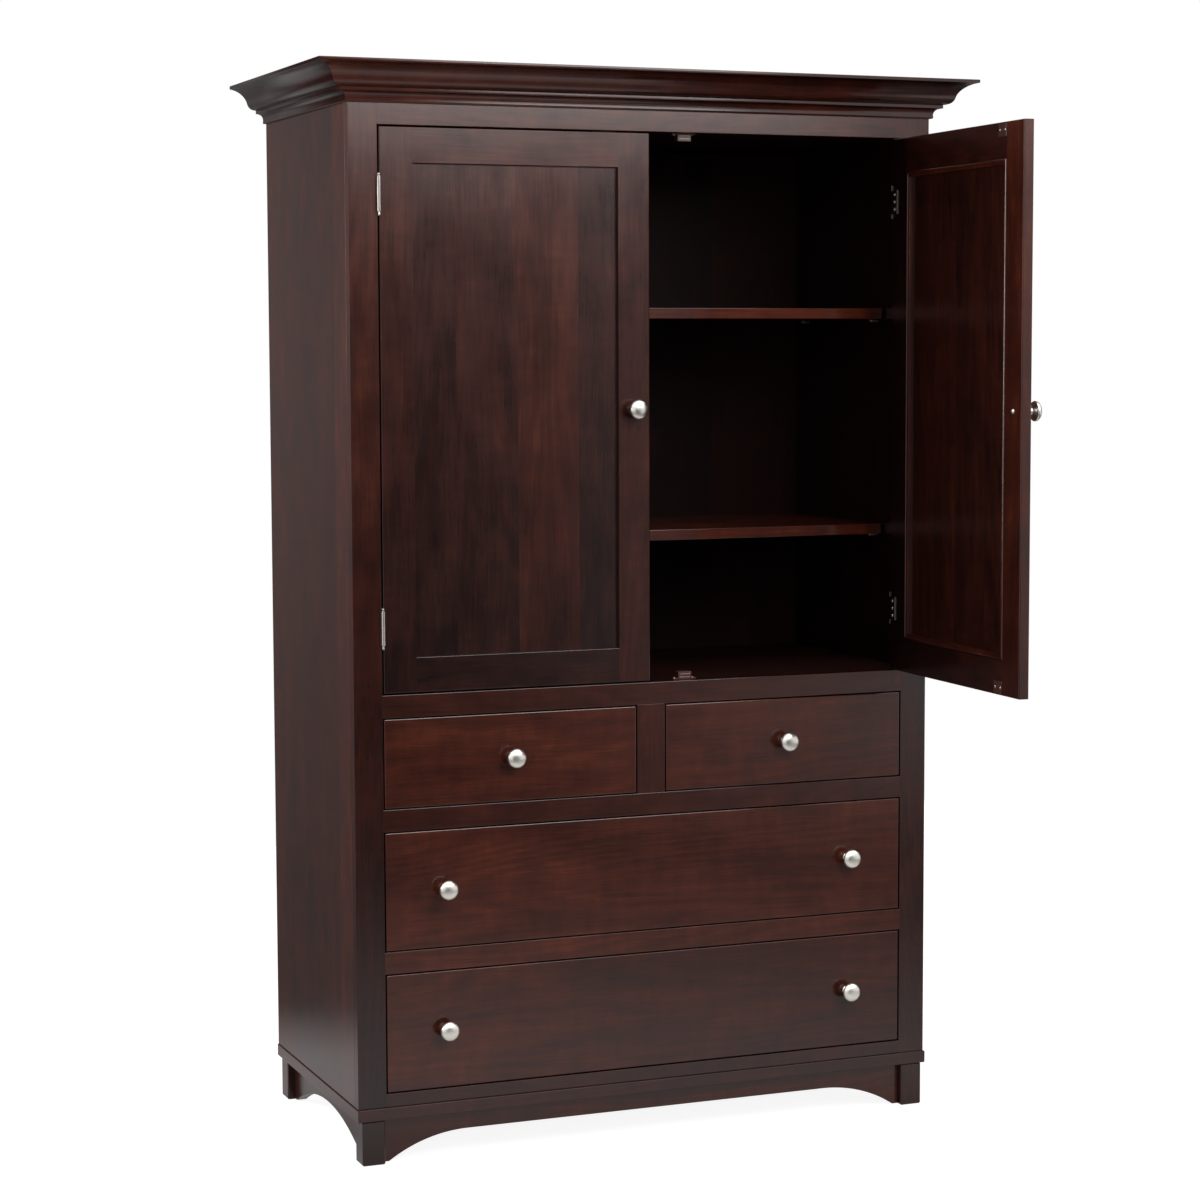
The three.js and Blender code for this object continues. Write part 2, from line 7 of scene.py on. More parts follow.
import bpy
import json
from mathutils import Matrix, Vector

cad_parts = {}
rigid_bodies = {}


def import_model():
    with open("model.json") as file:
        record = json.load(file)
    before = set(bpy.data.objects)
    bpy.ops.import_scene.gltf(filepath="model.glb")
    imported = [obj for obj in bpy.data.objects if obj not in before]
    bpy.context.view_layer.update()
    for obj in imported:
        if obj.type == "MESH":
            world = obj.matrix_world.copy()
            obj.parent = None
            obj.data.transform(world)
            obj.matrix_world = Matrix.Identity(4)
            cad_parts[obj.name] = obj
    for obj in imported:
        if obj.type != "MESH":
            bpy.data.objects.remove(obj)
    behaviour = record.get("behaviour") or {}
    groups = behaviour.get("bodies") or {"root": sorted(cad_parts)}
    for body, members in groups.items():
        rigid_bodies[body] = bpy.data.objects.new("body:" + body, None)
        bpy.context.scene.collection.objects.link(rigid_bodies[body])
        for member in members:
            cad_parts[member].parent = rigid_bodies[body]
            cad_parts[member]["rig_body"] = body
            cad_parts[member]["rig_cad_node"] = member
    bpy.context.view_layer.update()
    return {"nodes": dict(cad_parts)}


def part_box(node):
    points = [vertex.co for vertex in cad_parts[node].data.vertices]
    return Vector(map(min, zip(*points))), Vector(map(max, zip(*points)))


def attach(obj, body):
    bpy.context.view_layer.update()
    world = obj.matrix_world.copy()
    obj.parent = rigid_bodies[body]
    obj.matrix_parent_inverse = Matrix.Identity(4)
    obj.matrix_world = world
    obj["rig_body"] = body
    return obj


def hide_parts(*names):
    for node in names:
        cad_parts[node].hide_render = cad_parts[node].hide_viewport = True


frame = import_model()

# %% [markdown]
# ## Camera
# The picture was taken from the left, a little above the middle of the case, from nearly five metres away. The
# place and turn below were solved from the edges of the case.

# %% Camera
import json
import math
from contextlib import contextmanager

import bpy
from mathutils import Matrix, Vector

CAMERA_PLACE = (-1.98270, -4.70790, 1.43528)
CAMERA_TURN = (84.92988, 0.20032, -21.86018)
CAMERA_LENS = 85.115

bpy.ops.object.camera_add(location=CAMERA_PLACE, rotation=[math.radians(turn) for turn in CAMERA_TURN])
camera = bpy.context.object
camera.name = "studio_camera"
camera.data.lens = CAMERA_LENS
camera.data.sensor_width = 36
camera.data.dof.use_dof = False
bpy.context.scene.camera = camera
print("camera at", CAMERA_PLACE, "lens", CAMERA_LENS)

# %% [markdown]
# ## Lamps
# Lacquered dark wood shows more of what it mirrors than of its own colour, so lamp places matter. The key soft box
# stands close in front, high on the right: only the top of the doors mirrors it. One on the left lights the side
# and the free edge of the open door. The two fills give light but aren't mirrored.

# %% Lamps
SHOW_COLOURS_AS_WRITTEN = "Standard"
bpy.context.scene.view_settings.view_transform = SHOW_COLOURS_AS_WRITTEN


def soft_box(name, place, aim, size, power, mirrored=True):
    """An area lamp of width and height `size`, turned from its place towards the point it aims at."""
    turn = (Vector(aim) - Vector(place)).to_track_quat("-Z", "Y").to_euler()
    bpy.ops.object.light_add(type="AREA", location=place, rotation=turn)
    lamp = bpy.context.object
    lamp.name = name
    lamp.data.shape = "RECTANGLE"
    lamp.data.size, lamp.data.size_y = size
    lamp.data.energy = power
    lamp.visible_glossy = mirrored
    print("lamp", name, power, "W")


soft_box("key_box", (0.7, -2.4, 2.6), (0.0, 0.0, 1.5), (1.6, 1.1), 33)
soft_box("side_box", (-3.5, 0.7, 1.95), (-0.5, 0.25, 1.25), (1.4, 1.6), 84)
soft_box("front_fill", (0.4, -4.5, 2.4), (0.0, 0.0, 0.9), (3.0, 2.0), 39, mirrored=False)
soft_box("back_fill", (3.4, 3.0, 2.6), (0.2, 0.4, 1.0), (2.4, 2.0), 80, mirrored=False)

# %% [markdown]
# ## Shader nodes
# The room, the floor and every finish are built from shader nodes. A few helpers add a node and fill its inputs
# with plain values or with links from other nodes.

# %% Node helpers
def feed(tree, node, inputs):
    """Fills a node's inputs, given by name or number, each with a plain value or a link."""
    for key, value in inputs.items():
        if isinstance(value, bpy.types.NodeSocket):
            tree.links.new(value, node.inputs[key])
        else:
            node.inputs[key].default_value = value


def add_node(tree, kind, inputs=None, **settings):
    """A new shader node with these settings and inputs."""
    node = tree.nodes.new(f"ShaderNode{kind}")
    for name, value in settings.items():
        setattr(node, name, value)
    feed(tree, node, inputs or {})
    return node


def number(tree, operation, *values):
    """The result of a math node."""
    return add_node(tree, "Math", dict(enumerate(values)), operation=operation).outputs[0]


def vector(tree, operation, *values):
    """The result of a vector math node; a length or a dot product is a number."""
    node = add_node(tree, "VectorMath", dict(enumerate(values)), operation=operation)
    return node.outputs["Value" if operation in ("LENGTH", "DOT_PRODUCT") else "Vector"]


def map_range(tree, value, from_low, from_high, to_low, to_high):
    """A clamped straight line through two points; its ends may be numbers or sockets."""
    ends = {"Value": value, "From Min": from_low, "From Max": from_high, "To Min": to_low, "To Max": to_high}
    return add_node(tree, "MapRange", ends).outputs["Result"]


def ray_kinds(tree):
    """Two numbers, one or zero: does the camera look at the point itself, and is it seen in a mirror?"""
    path = add_node(tree, "LightPath").outputs
    return path["Is Camera Ray"], number(tree, "MAXIMUM", path["Is Glossy Ray"], path["Is Transmission Ray"])


def new_material(name, slot):
    """A material that knows its slot, its node tree and its main surface node."""
    material = bpy.data.materials.new(name)
    material["slot"] = slot
    material.use_nodes = True
    return material, material.node_tree, material.node_tree.nodes["Principled BSDF"]


print("node helpers ready")

# %% [markdown]
# ## Room
# The world is white where the camera looks straight into it. Wood and metal see a dimmer room: pale in front,
# brighter overhead, and behind a grey wall, paler low down and dark on the left. One dark gap straight ahead keeps
# the lower doors and drawers deep in colour. The pale part beside it shows in the knobs, and the light overhead
# draws thin bright lines along the upper edges.

# %% Room
WHITE = (1.0, 1.0, 1.0, 1.0)
BLACK = (0.0, 0.0, 0.0, 1.0)
ROOM_FOR_DIFFUSE = 0.15
ROOM_IN_FRONT = 1.0
OVERHEAD = 4.0
OVERHEAD_FROM = (0.45, 0.75)
DARK_GAP = 0.02
DARK_GAP_AT = (0.0521, -0.9948, -0.0872)
DARK_GAP_COSINES = (0.944, 0.911)
BEHIND_FROM = (-0.15, 0.15)
WALL = 0.22
WALL_SHADE = 0.12
SHADE_AT, SHADE_REACH = -0.16, 0.15
WALL_LOW = 0.44
WALL_LOW_FROM = (-0.2, -0.32)
WALL_DARK = 0.02
WALL_DARK_TO = (-0.48, -0.26)

world = bpy.context.scene.world or bpy.data.worlds.new("room")
bpy.context.scene.world = world
world.use_nodes = True
tree = world.node_tree
tree.nodes.clear()
direction = add_node(tree, "TexCoord").outputs["Generated"]
right, away, up = add_node(tree, "SeparateXYZ", {0: direction}).outputs
towards_gap = vector(tree, "DOT_PRODUCT", direction, DARK_GAP_AT)
lit = map_range(tree, up, *OVERHEAD_FROM, ROOM_IN_FRONT, OVERHEAD)
in_front = map_range(tree, towards_gap, *DARK_GAP_COSINES, DARK_GAP, lit)
from_shade = number(tree, "ABSOLUTE", number(tree, "SUBTRACT", up, SHADE_AT))
wall = map_range(tree, from_shade, 0, SHADE_REACH, WALL_SHADE, WALL)
wall = map_range(tree, up, *WALL_LOW_FROM, wall, WALL_LOW)
behind = map_range(tree, right, *WALL_DARK_TO, WALL_DARK, wall)
seen_in_mirror = map_range(tree, away, *BEHIND_FROM, in_front, behind)
by_camera, in_mirror = ray_kinds(tree)
strength = map_range(tree, in_mirror, 0, 1, ROOM_FOR_DIFFUSE, seen_in_mirror)
strength = map_range(tree, by_camera, 0, 1, strength, 1)
background = add_node(tree, "Background", {"Color": WHITE, "Strength": strength})
add_node(tree, "OutputWorld", {"Surface": background.outputs[0]})
print("room", ROOM_IN_FRONT, "in front and", WALL, "behind")

# %% [markdown]
# ## Floor
# Most of the floor's white is light of its own that only the camera sees. The rest comes from the lamps, so a soft
# shadow stays. In the wood the floor shows as a glow of its own, a painted reflection: brightest in front, fading out
# sooner behind, and darker right behind the legs, a painted shade.

# %% Floor
FLOOR_HALF_WIDTH = 3.2
FLOOR_COLOUR = (0.36, 0.355, 0.35, 1.0)
FLOOR_GLOW = 0.9
FLOOR_IN_MIRROR = 0.8
FLOOR_BEHIND_IN_MIRROR = 0.54
FLOOR_FAR_IN_MIRROR = 0.09
FADE_START = (0.75, 1.05)
FADE_END = (2.5, 1.45)
CONTACT_SHADE = 0.5
CONTACT_REACH = (0.62, 0.8)
CASE_DEPTH_RANGE = (-0.3, 0.3)


def primitive(add, name, **settings):
    """Adds a plane, circle or cube under this name."""
    add(**settings)
    bpy.context.object.name = name
    return bpy.context.object


floor = primitive(bpy.ops.mesh.primitive_plane_add, "floor", size=2 * FLOOR_HALF_WIDTH)
white_floor, tree, surface = new_material("white_floor", "floor")
place = add_node(tree, "TexCoord").outputs["Object"]
reach = vector(tree, "LENGTH", place)
depth = add_node(tree, "SeparateXYZ", {0: place}).outputs["Y"]


def from_front_to_back(front, back):
    """A value that changes from the front of the armoire to its back."""
    return map_range(tree, depth, *CASE_DEPTH_RANGE, front, back)


# What the wood mirrors of the floor is the floor's own glow: a painted reflection.
near = from_front_to_back(FLOOR_IN_MIRROR, FLOOR_BEHIND_IN_MIRROR)
fade = (from_front_to_back(*FADE_START), from_front_to_back(*FADE_END))
faded = map_range(tree, reach, *fade, near, FLOOR_FAR_IN_MIRROR)
# Right behind the legs the glow is darker: a painted shade of the armoire on the floor.
painted_contact_shade = map_range(tree, reach, *CONTACT_REACH, from_front_to_back(1.0, CONTACT_SHADE), 1.0)
shaded = map_range(tree, painted_contact_shade, 0, 1, 0, faded)
by_camera, in_mirror = ray_kinds(tree)
strength = map_range(tree, in_mirror, 0, 1, map_range(tree, by_camera, 0, 1, 0, FLOOR_GLOW), shaded)
own_colour = add_node(tree, "Mix", {"Factor": in_mirror, "A": FLOOR_COLOUR, "B": BLACK}, data_type="RGBA")
feed(tree, surface, {
    "Base Color": own_colour.outputs["Result"], "Roughness": 0.8, "Specular IOR Level": 0.1,
})
glow = add_node(tree, "Emission", {"Color": WHITE, "Strength": strength})
both = add_node(tree, "AddShader", {0: surface.outputs[0], 1: glow.outputs[0]})
feed(tree, tree.nodes["Material Output"], {"Surface": both.outputs[0]})
floor.data.materials.append(white_floor)
print("floor", 2 * FLOOR_HALF_WIDTH, "m square")

# %% [markdown]
# ## A board and its grain
# Almost everything here is a sawn board: a cube at the board's size and place, its edges rounded over with a
# bevel, as sandpaper does. The grain has to run along each board, also on a door that stands open, so every board
# carries its own coordinates in an attribute called grain: metres across, through and along it. Another, planks,
# counts the strips that a wide panel is glued up from, so that each gets its own tone. A third makes the board
# lighter or darker from its low end to its high end: partly the board's own tone, partly painted light, a painted
# highlight where a lamp's sheen falls and painted shade where the board lies in shade.

# %% Board helper
AXES = {"x": Vector((1, 0, 0)), "y": Vector((0, 1, 0)), "z": Vector((0, 0, 1))}
SIDES = (("left", -1), ("right", 1))
EASED_EDGE = 0.0008
made_boards = []


def alone(piece):
    """Makes `piece` the one selected and active object."""
    bpy.ops.object.select_all(action="DESELECT")
    piece.select_set(True)
    bpy.context.view_layer.objects.active = piece


@contextmanager
def editing(piece, select="SELECT", kind=None):
    """Edit mode for one piece, with all or nothing of it selected, or what was selected before."""
    alone(piece)
    bpy.ops.object.mode_set(mode="EDIT")
    if kind:
        bpy.ops.mesh.select_mode(type=kind)
    if select:
        bpy.ops.mesh.select_all(action=select)
    yield
    bpy.ops.object.mode_set(mode="OBJECT")


def face_outwards():
    bpy.ops.mesh.select_all(action="SELECT")
    bpy.ops.mesh.normals_make_consistent(inside=False)


def block(name, low, high):
    """A cube primitive stretched between two corners, its place applied to its mesh."""
    low, high = Vector(low), Vector(high)
    made = primitive(bpy.ops.mesh.primitive_cube_add, name, size=1, location=(low + high) / 2)
    made.scale = high - low
    bpy.ops.object.transform_apply()
    return made


def ease(piece, width=EASED_EDGE, steps=2):
    """Rounds over every edge of a piece that still has only its main faces."""
    with editing(piece):
        bpy.ops.mesh.bevel(offset=width, segments=steps, affect="EDGES", clamp_overlap=True)
    return piece


def ease_where(piece, chosen, width=EASED_EDGE, steps=2):
    """Rounds over only the edges whose two ends pass the test."""
    with editing(piece, "DESELECT", "EDGE"):
        pass
    for edge in piece.data.edges:
        edge.select = chosen(*(piece.data.vertices[i].co for i in edge.vertices))
    with editing(piece, None):
        bpy.ops.mesh.bevel(offset=width, segments=steps, affect="EDGES")
    return piece


def modified(piece, kind, **settings):
    """Puts one modifier on the piece and applies it."""
    alone(piece)
    modifier = piece.modifiers.new(kind.lower(), kind)
    for name, value in settings.items():
        setattr(modifier, name, value)
    bpy.ops.object.modifier_apply(modifier=modifier.name)
    return piece


def ease_sharp(piece, width, degrees):
    """Rounds over only the edges that turn by more than this."""
    limit = math.radians(degrees)
    return modified(piece, "BEVEL", width=width, segments=2, limit_method="ANGLE", angle_limit=limit)


def give_grain(piece, along, across, plank=None, stain=(0, 0)):
    """Writes the board's own coordinates; `plank` is the width of a glued strip, or None for a single board."""
    through = ({"x", "y", "z"} - {along, across}).pop()
    corners = [vertex.co.copy() for vertex in piece.data.vertices]
    start = [min(corner.dot(AXES[axis]) for corner in corners) for axis in (across, through, along)]
    board_count = len(made_boards)
    shift = (0.37 * board_count % 3.1, 0.23 * board_count % 1.9, 1.7 * board_count % 12.3)
    length = max(corner.dot(AXES[along]) for corner in corners) - start[2]
    written = {"grain": [], "planks": [], "stain": []}
    for corner in corners:
        own = [corner.dot(AXES[axis]) - low for axis, low in zip((across, through, along), start)]
        written["grain"].extend(value + moved for value, moved in zip(own, shift))
        written["planks"].append(40 * board_count + (0.5 if plank is None else 0.3 + own[0] / plank))
        written["stain"].append(stain[0] + (stain[1] - stain[0]) * own[2] / length)
    attributes = piece.data.attributes
    for name in written:
        attributes.new(name, "FLOAT_VECTOR" if name == "grain" else "FLOAT", "POINT")
    for name, values in written.items():
        attributes[name].data.foreach_set("vector" if name == "grain" else "value", values)
    made_boards.append(piece.name)
    return piece


def stain_beyond(piece, axis, limit, side, tone):
    """Another stain value for the points that lie beyond the limit, on the side given by +1 or -1; on the inner faces
    of the sides it is a painted shade.
    """
    for vertex, stain in zip(piece.data.vertices, piece.data.attributes["stain"].data):
        if (vertex.co.dot(AXES[axis]) - limit) * side > 0:
            stain.value = tone


print("board helper ready; edges are eased by", EASED_EDGE * 1000, "mm")

# %% [markdown]
# ## Stained maple
# Maple takes a dark stain unevenly: fine fibres run along the board, softer streaks and blotches lie under them,
# and curl runs across. Each is a noise, stretched along the grain or across it: the table has its numbers per
# metre, its detail and its weight. Growth rings are the contour lines of a slow noise, and a slow sideways drift
# bends them all. White noise on a glued strip's number gives the strip its own tone.

# %% Wood finish
FIGURE = {
    "fibre": ((420, 420, 14), 3, 0.5),
    "streak": ((55, 55, 2.6), 4, 0.38),
    "blotch": ((15, 15, 7), 3, 0.65),
    "curl": ((16, 16, 45), 2, 0.3),
}
RING_PER_METRE = (5, 5, 0.7)
RINGS = 150
RING_WEIGHT = 0.05
STRIP_WEIGHT = 0.4
STRIP_SHIFT = (5.0, 3.0, 17.0)
DRIFT_PER_METRE = (4, 4, 2)
DRIFT = (0.03, 0.03, 0)


def stretched_noise(tree, place, per_metre, detail, roughness=0.55):
    """Noise on coordinates that are scaled apart along, across and through the board."""
    scaled = vector(tree, "MULTIPLY", place, per_metre)
    inputs = {"Vector": scaled, "Scale": 1.0, "Detail": detail, "Roughness": roughness}
    return add_node(tree, "TexNoise", inputs).outputs


def weighted(tree, total, value, weight, middle=0.5):
    """total + weight * (value - middle)"""
    return number(tree, "MULTIPLY_ADD", number(tree, "SUBTRACT", value, middle), weight, total)


def colour_ramp(tree, value, stops):
    """The colour at a value, between stops that are a position and a colour each."""
    ramp = add_node(tree, "ValToRGB", {"Fac": value})
    elements = ramp.color_ramp.elements
    for i, (position, colour) in enumerate((stops[0], stops[-1])):
        elements[i].position, elements[i].color = position, (*colour, 1)
    for position, colour in stops[1:-1]:
        elements.new(position).color = (*colour, 1)
    return ramp.outputs["Color"]


def bumped(tree, height, strength, distance):
    """A surface normal that follows the height."""
    inputs = {"Height": height, "Strength": strength, "Distance": distance}
    return add_node(tree, "Bump", inputs).outputs["Normal"]


def attribute(tree, name):
    return add_node(tree, "Attribute", attribute_name=name).outputs


def board_coordinates(tree):
    """The grain attribute, moved apart for each glued strip and bent a little, and the strip's random number."""
    strip = number(tree, "FLOOR", attribute(tree, "planks")["Fac"])
    chance = add_node(tree, "TexWhiteNoise", {"W": strip}, noise_dimensions="1D").outputs["Color"]
    place = vector(tree, "MULTIPLY_ADD", chance, STRIP_SHIFT, attribute(tree, "grain")["Vector"])
    drift = stretched_noise(tree, place, DRIFT_PER_METRE, 1, roughness=0.5)["Color"]
    bent = vector(tree, "MULTIPLY_ADD", drift, DRIFT, place)
    return bent, add_node(tree, "SeparateXYZ", {0: chance}).outputs["X"]


def wood(slot, stops, figure, roughness, gloss_level):
    """A finished wood: `stops` are its colours from dark to light, `figure` how strongly the grain shows."""
    material, tree, surface = new_material(f"{slot}_finish", slot)
    place, strip_chance = board_coordinates(tree)
    tone, noise = 0.5, {}
    for name, (per_metre, detail, weight) in FIGURE.items():
        noise[name] = stretched_noise(tree, place, per_metre, detail)["Fac"]
        tone = weighted(tree, tone, noise[name], weight * figure)
    growth = stretched_noise(tree, place, RING_PER_METRE, 1)["Fac"]
    rings = number(tree, "SINE", number(tree, "MULTIPLY", growth, RINGS))
    tone = weighted(tree, tone, rings, RING_WEIGHT * figure, middle=0.0)
    tone = weighted(tree, tone, strip_chance, STRIP_WEIGHT)
    tone = weighted(tree, tone, attribute(tree, "stain")["Fac"], 1.0, middle=0.0)
    gloss = weighted(tree, weighted(tree, roughness, noise["blotch"], 0.12), noise["fibre"], 0.08)
    places = [i / (len(stops) - 1) for i in range(len(stops))]
    feed(tree, surface, {
        "Base Color": colour_ramp(tree, tone, list(zip(places, stops))), "Roughness": gloss,
        "Specular IOR Level": gloss_level, "Normal": bumped(tree, noise["fibre"], 0.25, 0.0001),
    })
    print("finish", material.name)
    return material


stained_maple = wood(
    "stained_maple",
    [(0.014, 0.0046, 0.0036), (0.03, 0.0073, 0.005), (0.052, 0.0107, 0.006), (0.09, 0.018, 0.0083),
     (0.15, 0.03, 0.0118)],
    figure=1.0, roughness=0.21, gloss_level=0.5,
)
# The inside's finish is far darker than the outside's: painted shade for the dark inside of the case.
inner_maple = wood(
    "inner_maple",
    [(0.0035, 0.0012, 0.0009), (0.007, 0.002, 0.0014), (0.013, 0.003, 0.0019), (0.026, 0.0052, 0.003)],
    figure=0.9, roughness=0.5, gloss_level=0.12,
)
drawer_wood = wood(
    "drawer_wood",
    [(0.36, 0.22, 0.11), (0.47, 0.31, 0.165), (0.55, 0.38, 0.22), (0.63, 0.46, 0.29)],
    figure=0.5, roughness=0.5, gloss_level=0.4,
)

# %% [markdown]
# ## Metal and plastic
# The knobs are satin nickel: a metal with a soft gloss and a slightly warm white. The hinges are plated too, in a
# darker copy of that nickel: painted shade for the dark room that they mirror. The magnetic catches are brown
# plastic with a fine matt grain.

# %% Metal and plastic
def plain_finish(name, slot, colour, metallic, roughness, grain_per_metre, variation):
    """A moulded or plated finish whose gloss and colour vary a little over the piece."""
    material, tree, surface = new_material(name, slot)
    place = add_node(tree, "TexCoord").outputs["Object"]
    inputs = {"Vector": place, "Scale": grain_per_metre, "Detail": 3}
    speckle = add_node(tree, "TexNoise", inputs).outputs["Fac"]
    darker, lighter = ([value * share for value in colour] for share in (1 - variation, 1 + variation))
    feed(tree, surface, {
        "Base Color": colour_ramp(tree, speckle, [(0.3, darker), (0.7, lighter)]), "Metallic": metallic,
        "Roughness": weighted(tree, roughness, speckle, 0.12), "Normal": bumped(tree, speckle, 0.2, 0.00002),
    })
    print("finish", name)
    return material


satin_nickel = plain_finish("satin_nickel", "nickel", (0.76, 0.735, 0.675), 1.0, 0.33, 900, 0.04)
# Darker than the knobs' nickel: painted shade for the dark room that the hinges mirror. The screws share it.
hinge_nickel_painted_dark = plain_finish("hinge_nickel_painted_dark", "nickel", (0.5, 0.46, 0.43), 1.0, 0.24, 700, 0.08)
brown_plastic = plain_finish("brown_plastic", "brown_plastic", (0.1, 0.034, 0.025), 0.0, 0.36, 2500, 0.15)
strike_plastic = plain_finish("strike_plastic", "brown_plastic", (0.075, 0.027, 0.019), 0.0, 0.3, 2500, 0.15)
pin_steel = plain_finish("pin_steel", "nickel", (0.32, 0.3, 0.28), 1.0, 0.45, 800, 0.1)

# %% [markdown]
# ## Case
# The case is a box of boards behind a face frame. Each board is made at the size and place that the fixed
# model gives, and the model's own plain solid is then hidden. The wide boards are glued up from strips about
# eleven centimetres wide. Grain runs up the sides and the back, and across the boards that lie flat.

# %% Case boards
STRIP = 0.108
BACK_STRIP = 0.19
BOARD = 0.0195
STAIN_OUTSIDE_OF_BACK = 0.55
MM = 0.001


def finish_piece(piece, material, body, *stands_for):
    """Gives a piece its finish, ties it to its body and hides the plain solids that it stands for."""
    piece.data.materials.clear()
    piece.data.materials.append(material)
    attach(piece, body)
    if stands_for:
        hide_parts(*stands_for)
    return piece


def wooden(piece, node, along, across, stain=(0, 0), plank=None, material=stained_maple, body="case"):
    """Gives a piece its grain and its finish and lets it stand for the plain solid `node`."""
    return finish_piece(give_grain(piece, along, across, plank, stain), material, body, node)


def board_like(node, along, across, edge=EASED_EDGE, **finish):
    """A board in the place of a plain solid, with that solid's name and a suffix."""
    return wooden(ease(block(f"{node}_wood", *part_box(node)), edge), node, along, across, **finish)


# The back, top and deck boards take the dark inner finish, painted shade for the inside; the back's outer face is
# lifted to a plain tone.
back_panel = board_like("back_panel", "z", "x", 0.0003, plank=BACK_STRIP, material=inner_maple)
stain_beyond(back_panel, "y", sum(end.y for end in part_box("back_panel")) / 2, 1, STAIN_OUTSIDE_OF_BACK)
for node in ("top_board", "deck_board"):
    board_like(node, "x", "y", plank=STRIP, material=inner_maple)
print("case boards", len(made_boards))

# %% [markdown]
# ## Face frame
# Two tall stiles run the full height, with the rails glued between them and sanded flush, so a joint shows only
# where the grain turns. Long edges are eased and glued ends stay sharp. The two outer corners of the case are
# rounder, which draws a thin bright line down each.

# %% Face frame
HAIRLINE = 0.00025
CORNER = 0.0021
FACE_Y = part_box("face_stile_left")[0].y
# The left stile is lighter towards its top: partly its tone, partly a painted highlight for the lamp's sheen there.
stile_stains = {
    "face_stile_left": (-0.3, 0.25), "face_stile_right": (-0.05, -0.02), "face_stile_middle": (-0.03, -0.03),
}
for node, stain in stile_stains.items():
    low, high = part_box(node)
    stile = ease(block(f"{node}_wood", low, high), HAIRLINE)
    if node != "face_stile_middle":
        outer = max(low.x, high.x, key=abs)
        ease_where(
            stile, lambda a, b: all(abs(end.x - outer) < MM and end.y < FACE_Y + MM for end in (a, b))
            and abs(a.z - b.z) > 10 * MM, CORNER, 3,
        )
    wooden(stile, node, "z", "x", stain)
# The top rail is lighter at its left end: a painted highlight for the lamp's sheen there.
rail_stains = {
    "face_rail_top": (0.3, 0.0), "face_rail_below_doors": (0.0, 0.05), "face_rail_below_small_drawers": (0.0, 0.0),
    "face_rail_between_large_drawers": (0.05, 0.0), "face_rail_bottom": (0.05, 0.0),
}
for node, stain in rail_stains.items():
    rail = ease_where(block(f"{node}_wood", *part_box(node)), lambda a, b: abs(a.x - b.x) > MM, 0.0007)
    wooden(rail, node, "x", "z", stain)
print("the face stands at y", round(FACE_Y, 5))

# %% [markdown]
# ## Band, dust boards and runners
# One thick board closes the case at the bottom. It stands a little proud and shows as a band. Two boards
# between the drawers carry the runners that keep them straight. All three keep the fixed model's shape, so a
# copy of each is cleaned up and eased.

# %% Band and runners
def repeat(piece, name):
    """A copy with a mesh of its own."""
    made = piece.copy()
    made.data = piece.data.copy()
    made.name = name
    bpy.context.scene.collection.objects.link(made)
    return made


def solid_copy(name, node):
    """A copy of a plain solid, its loose triangles merged and its flat faces joined."""
    made = repeat(frame["nodes"][node], name)
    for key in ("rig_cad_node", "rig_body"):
        if key in made:
            del made[key]
    made.parent = None
    with editing(made):
        bpy.ops.mesh.remove_doubles(threshold=0.00001)
        bpy.ops.mesh.dissolve_limited(angle_limit=math.radians(2))
    return made


# The dust boards take the dark inner finish too: painted shade for the inside of the case.
for node, material, edge, stain in (
    ("dust_board_upper", inner_maple, EASED_EDGE, (0, 0)), ("dust_board_lower", inner_maple, EASED_EDGE, (0, 0)),
    ("base_board", stained_maple, 0.0012, (-0.2, -0.35)),
):
    wooden(ease_sharp(solid_copy(f"{node}_wood", node), edge, 40), node, "x", "y", stain, material=material)
print("band and runners made")

# %% [markdown]
# ## Shelves
# Two loose shelves rest on four pins each. Their front corners are rounded first, then all their edges are eased.

# %% Shelves
SHELF_CORNER = 0.006
for node in ("shelf_upper", "shelf_lower"):
    low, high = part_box(node)
    shelf = ease_where(
        block(f"{node}_wood", low, high),
        lambda a, b: max(a.y, b.y) < low.y + MM and abs(a.x - b.x) < MM, SHELF_CORNER, 5,
    )
    wooden(ease(shelf, 0.0012), node, "x", "y", (0.05, 0.2), STRIP)
print("shelves made")

# %% [markdown]
# ## Turned pieces
# Pins, screws and knobs are turned, as on a lathe: a point is extruded along one side of the piece's outline,
# which is then spun once round the Z axis.

# %% Turning helper
def turned(name, outline, steps=32):
    """Spins an outline of (radius, height) points, bottom first, about the Z axis."""
    made = primitive(bpy.ops.mesh.primitive_plane_add, name, size=0.01)
    with editing(made, kind="VERT"):
        bpy.ops.mesh.merge(type="CENTER")
        bpy.ops.transform.translate(value=(outline[0][0], 0, outline[0][1]))
        for (radius, height), (next_radius, next_height) in zip(outline, outline[1:]):
            move = (next_radius - radius, 0, next_height - height)
            bpy.ops.mesh.extrude_region_move(TRANSFORM_OT_translate={"value": move})
        bpy.ops.mesh.select_all(action="SELECT")
        bpy.ops.mesh.spin(steps=steps, angle=math.tau, center=(0, 0, 0), axis=(0, 0, 1))
        bpy.ops.mesh.select_all(action="SELECT")
        bpy.ops.mesh.remove_doubles(threshold=0.000005)
        face_outwards()
    bpy.ops.object.shade_smooth_by_angle(angle=math.radians(38))
    return made


def settle(piece, *moves):
    """Applies moves (4 by 4 matrices, the last one first) to the piece's mesh."""
    whole = Matrix.Identity(4)
    for move in moves:
        whole = whole @ move
    alone(piece)
    piece.matrix_world = whole
    bpy.ops.object.transform_apply()
    return piece


def turn_about(axis, degrees):
    return Matrix.Rotation(math.radians(degrees), 4, axis)


def place_copy(pattern, name, material, body, turn, point, *moves, stands_for=()):
    """A finished copy of a turned pattern: turned, put at a point, and then moved with its door."""
    made = settle(repeat(pattern, name), *moves, Matrix.Translation(point), turn)
    finish_piece(made, material, body, *stands_for)


UPRIGHT = Matrix.Identity(4)
ONTO_FACE = turn_about("X", 90)
ONTO_BACK = turn_about("X", -90)
print("turning helper ready")
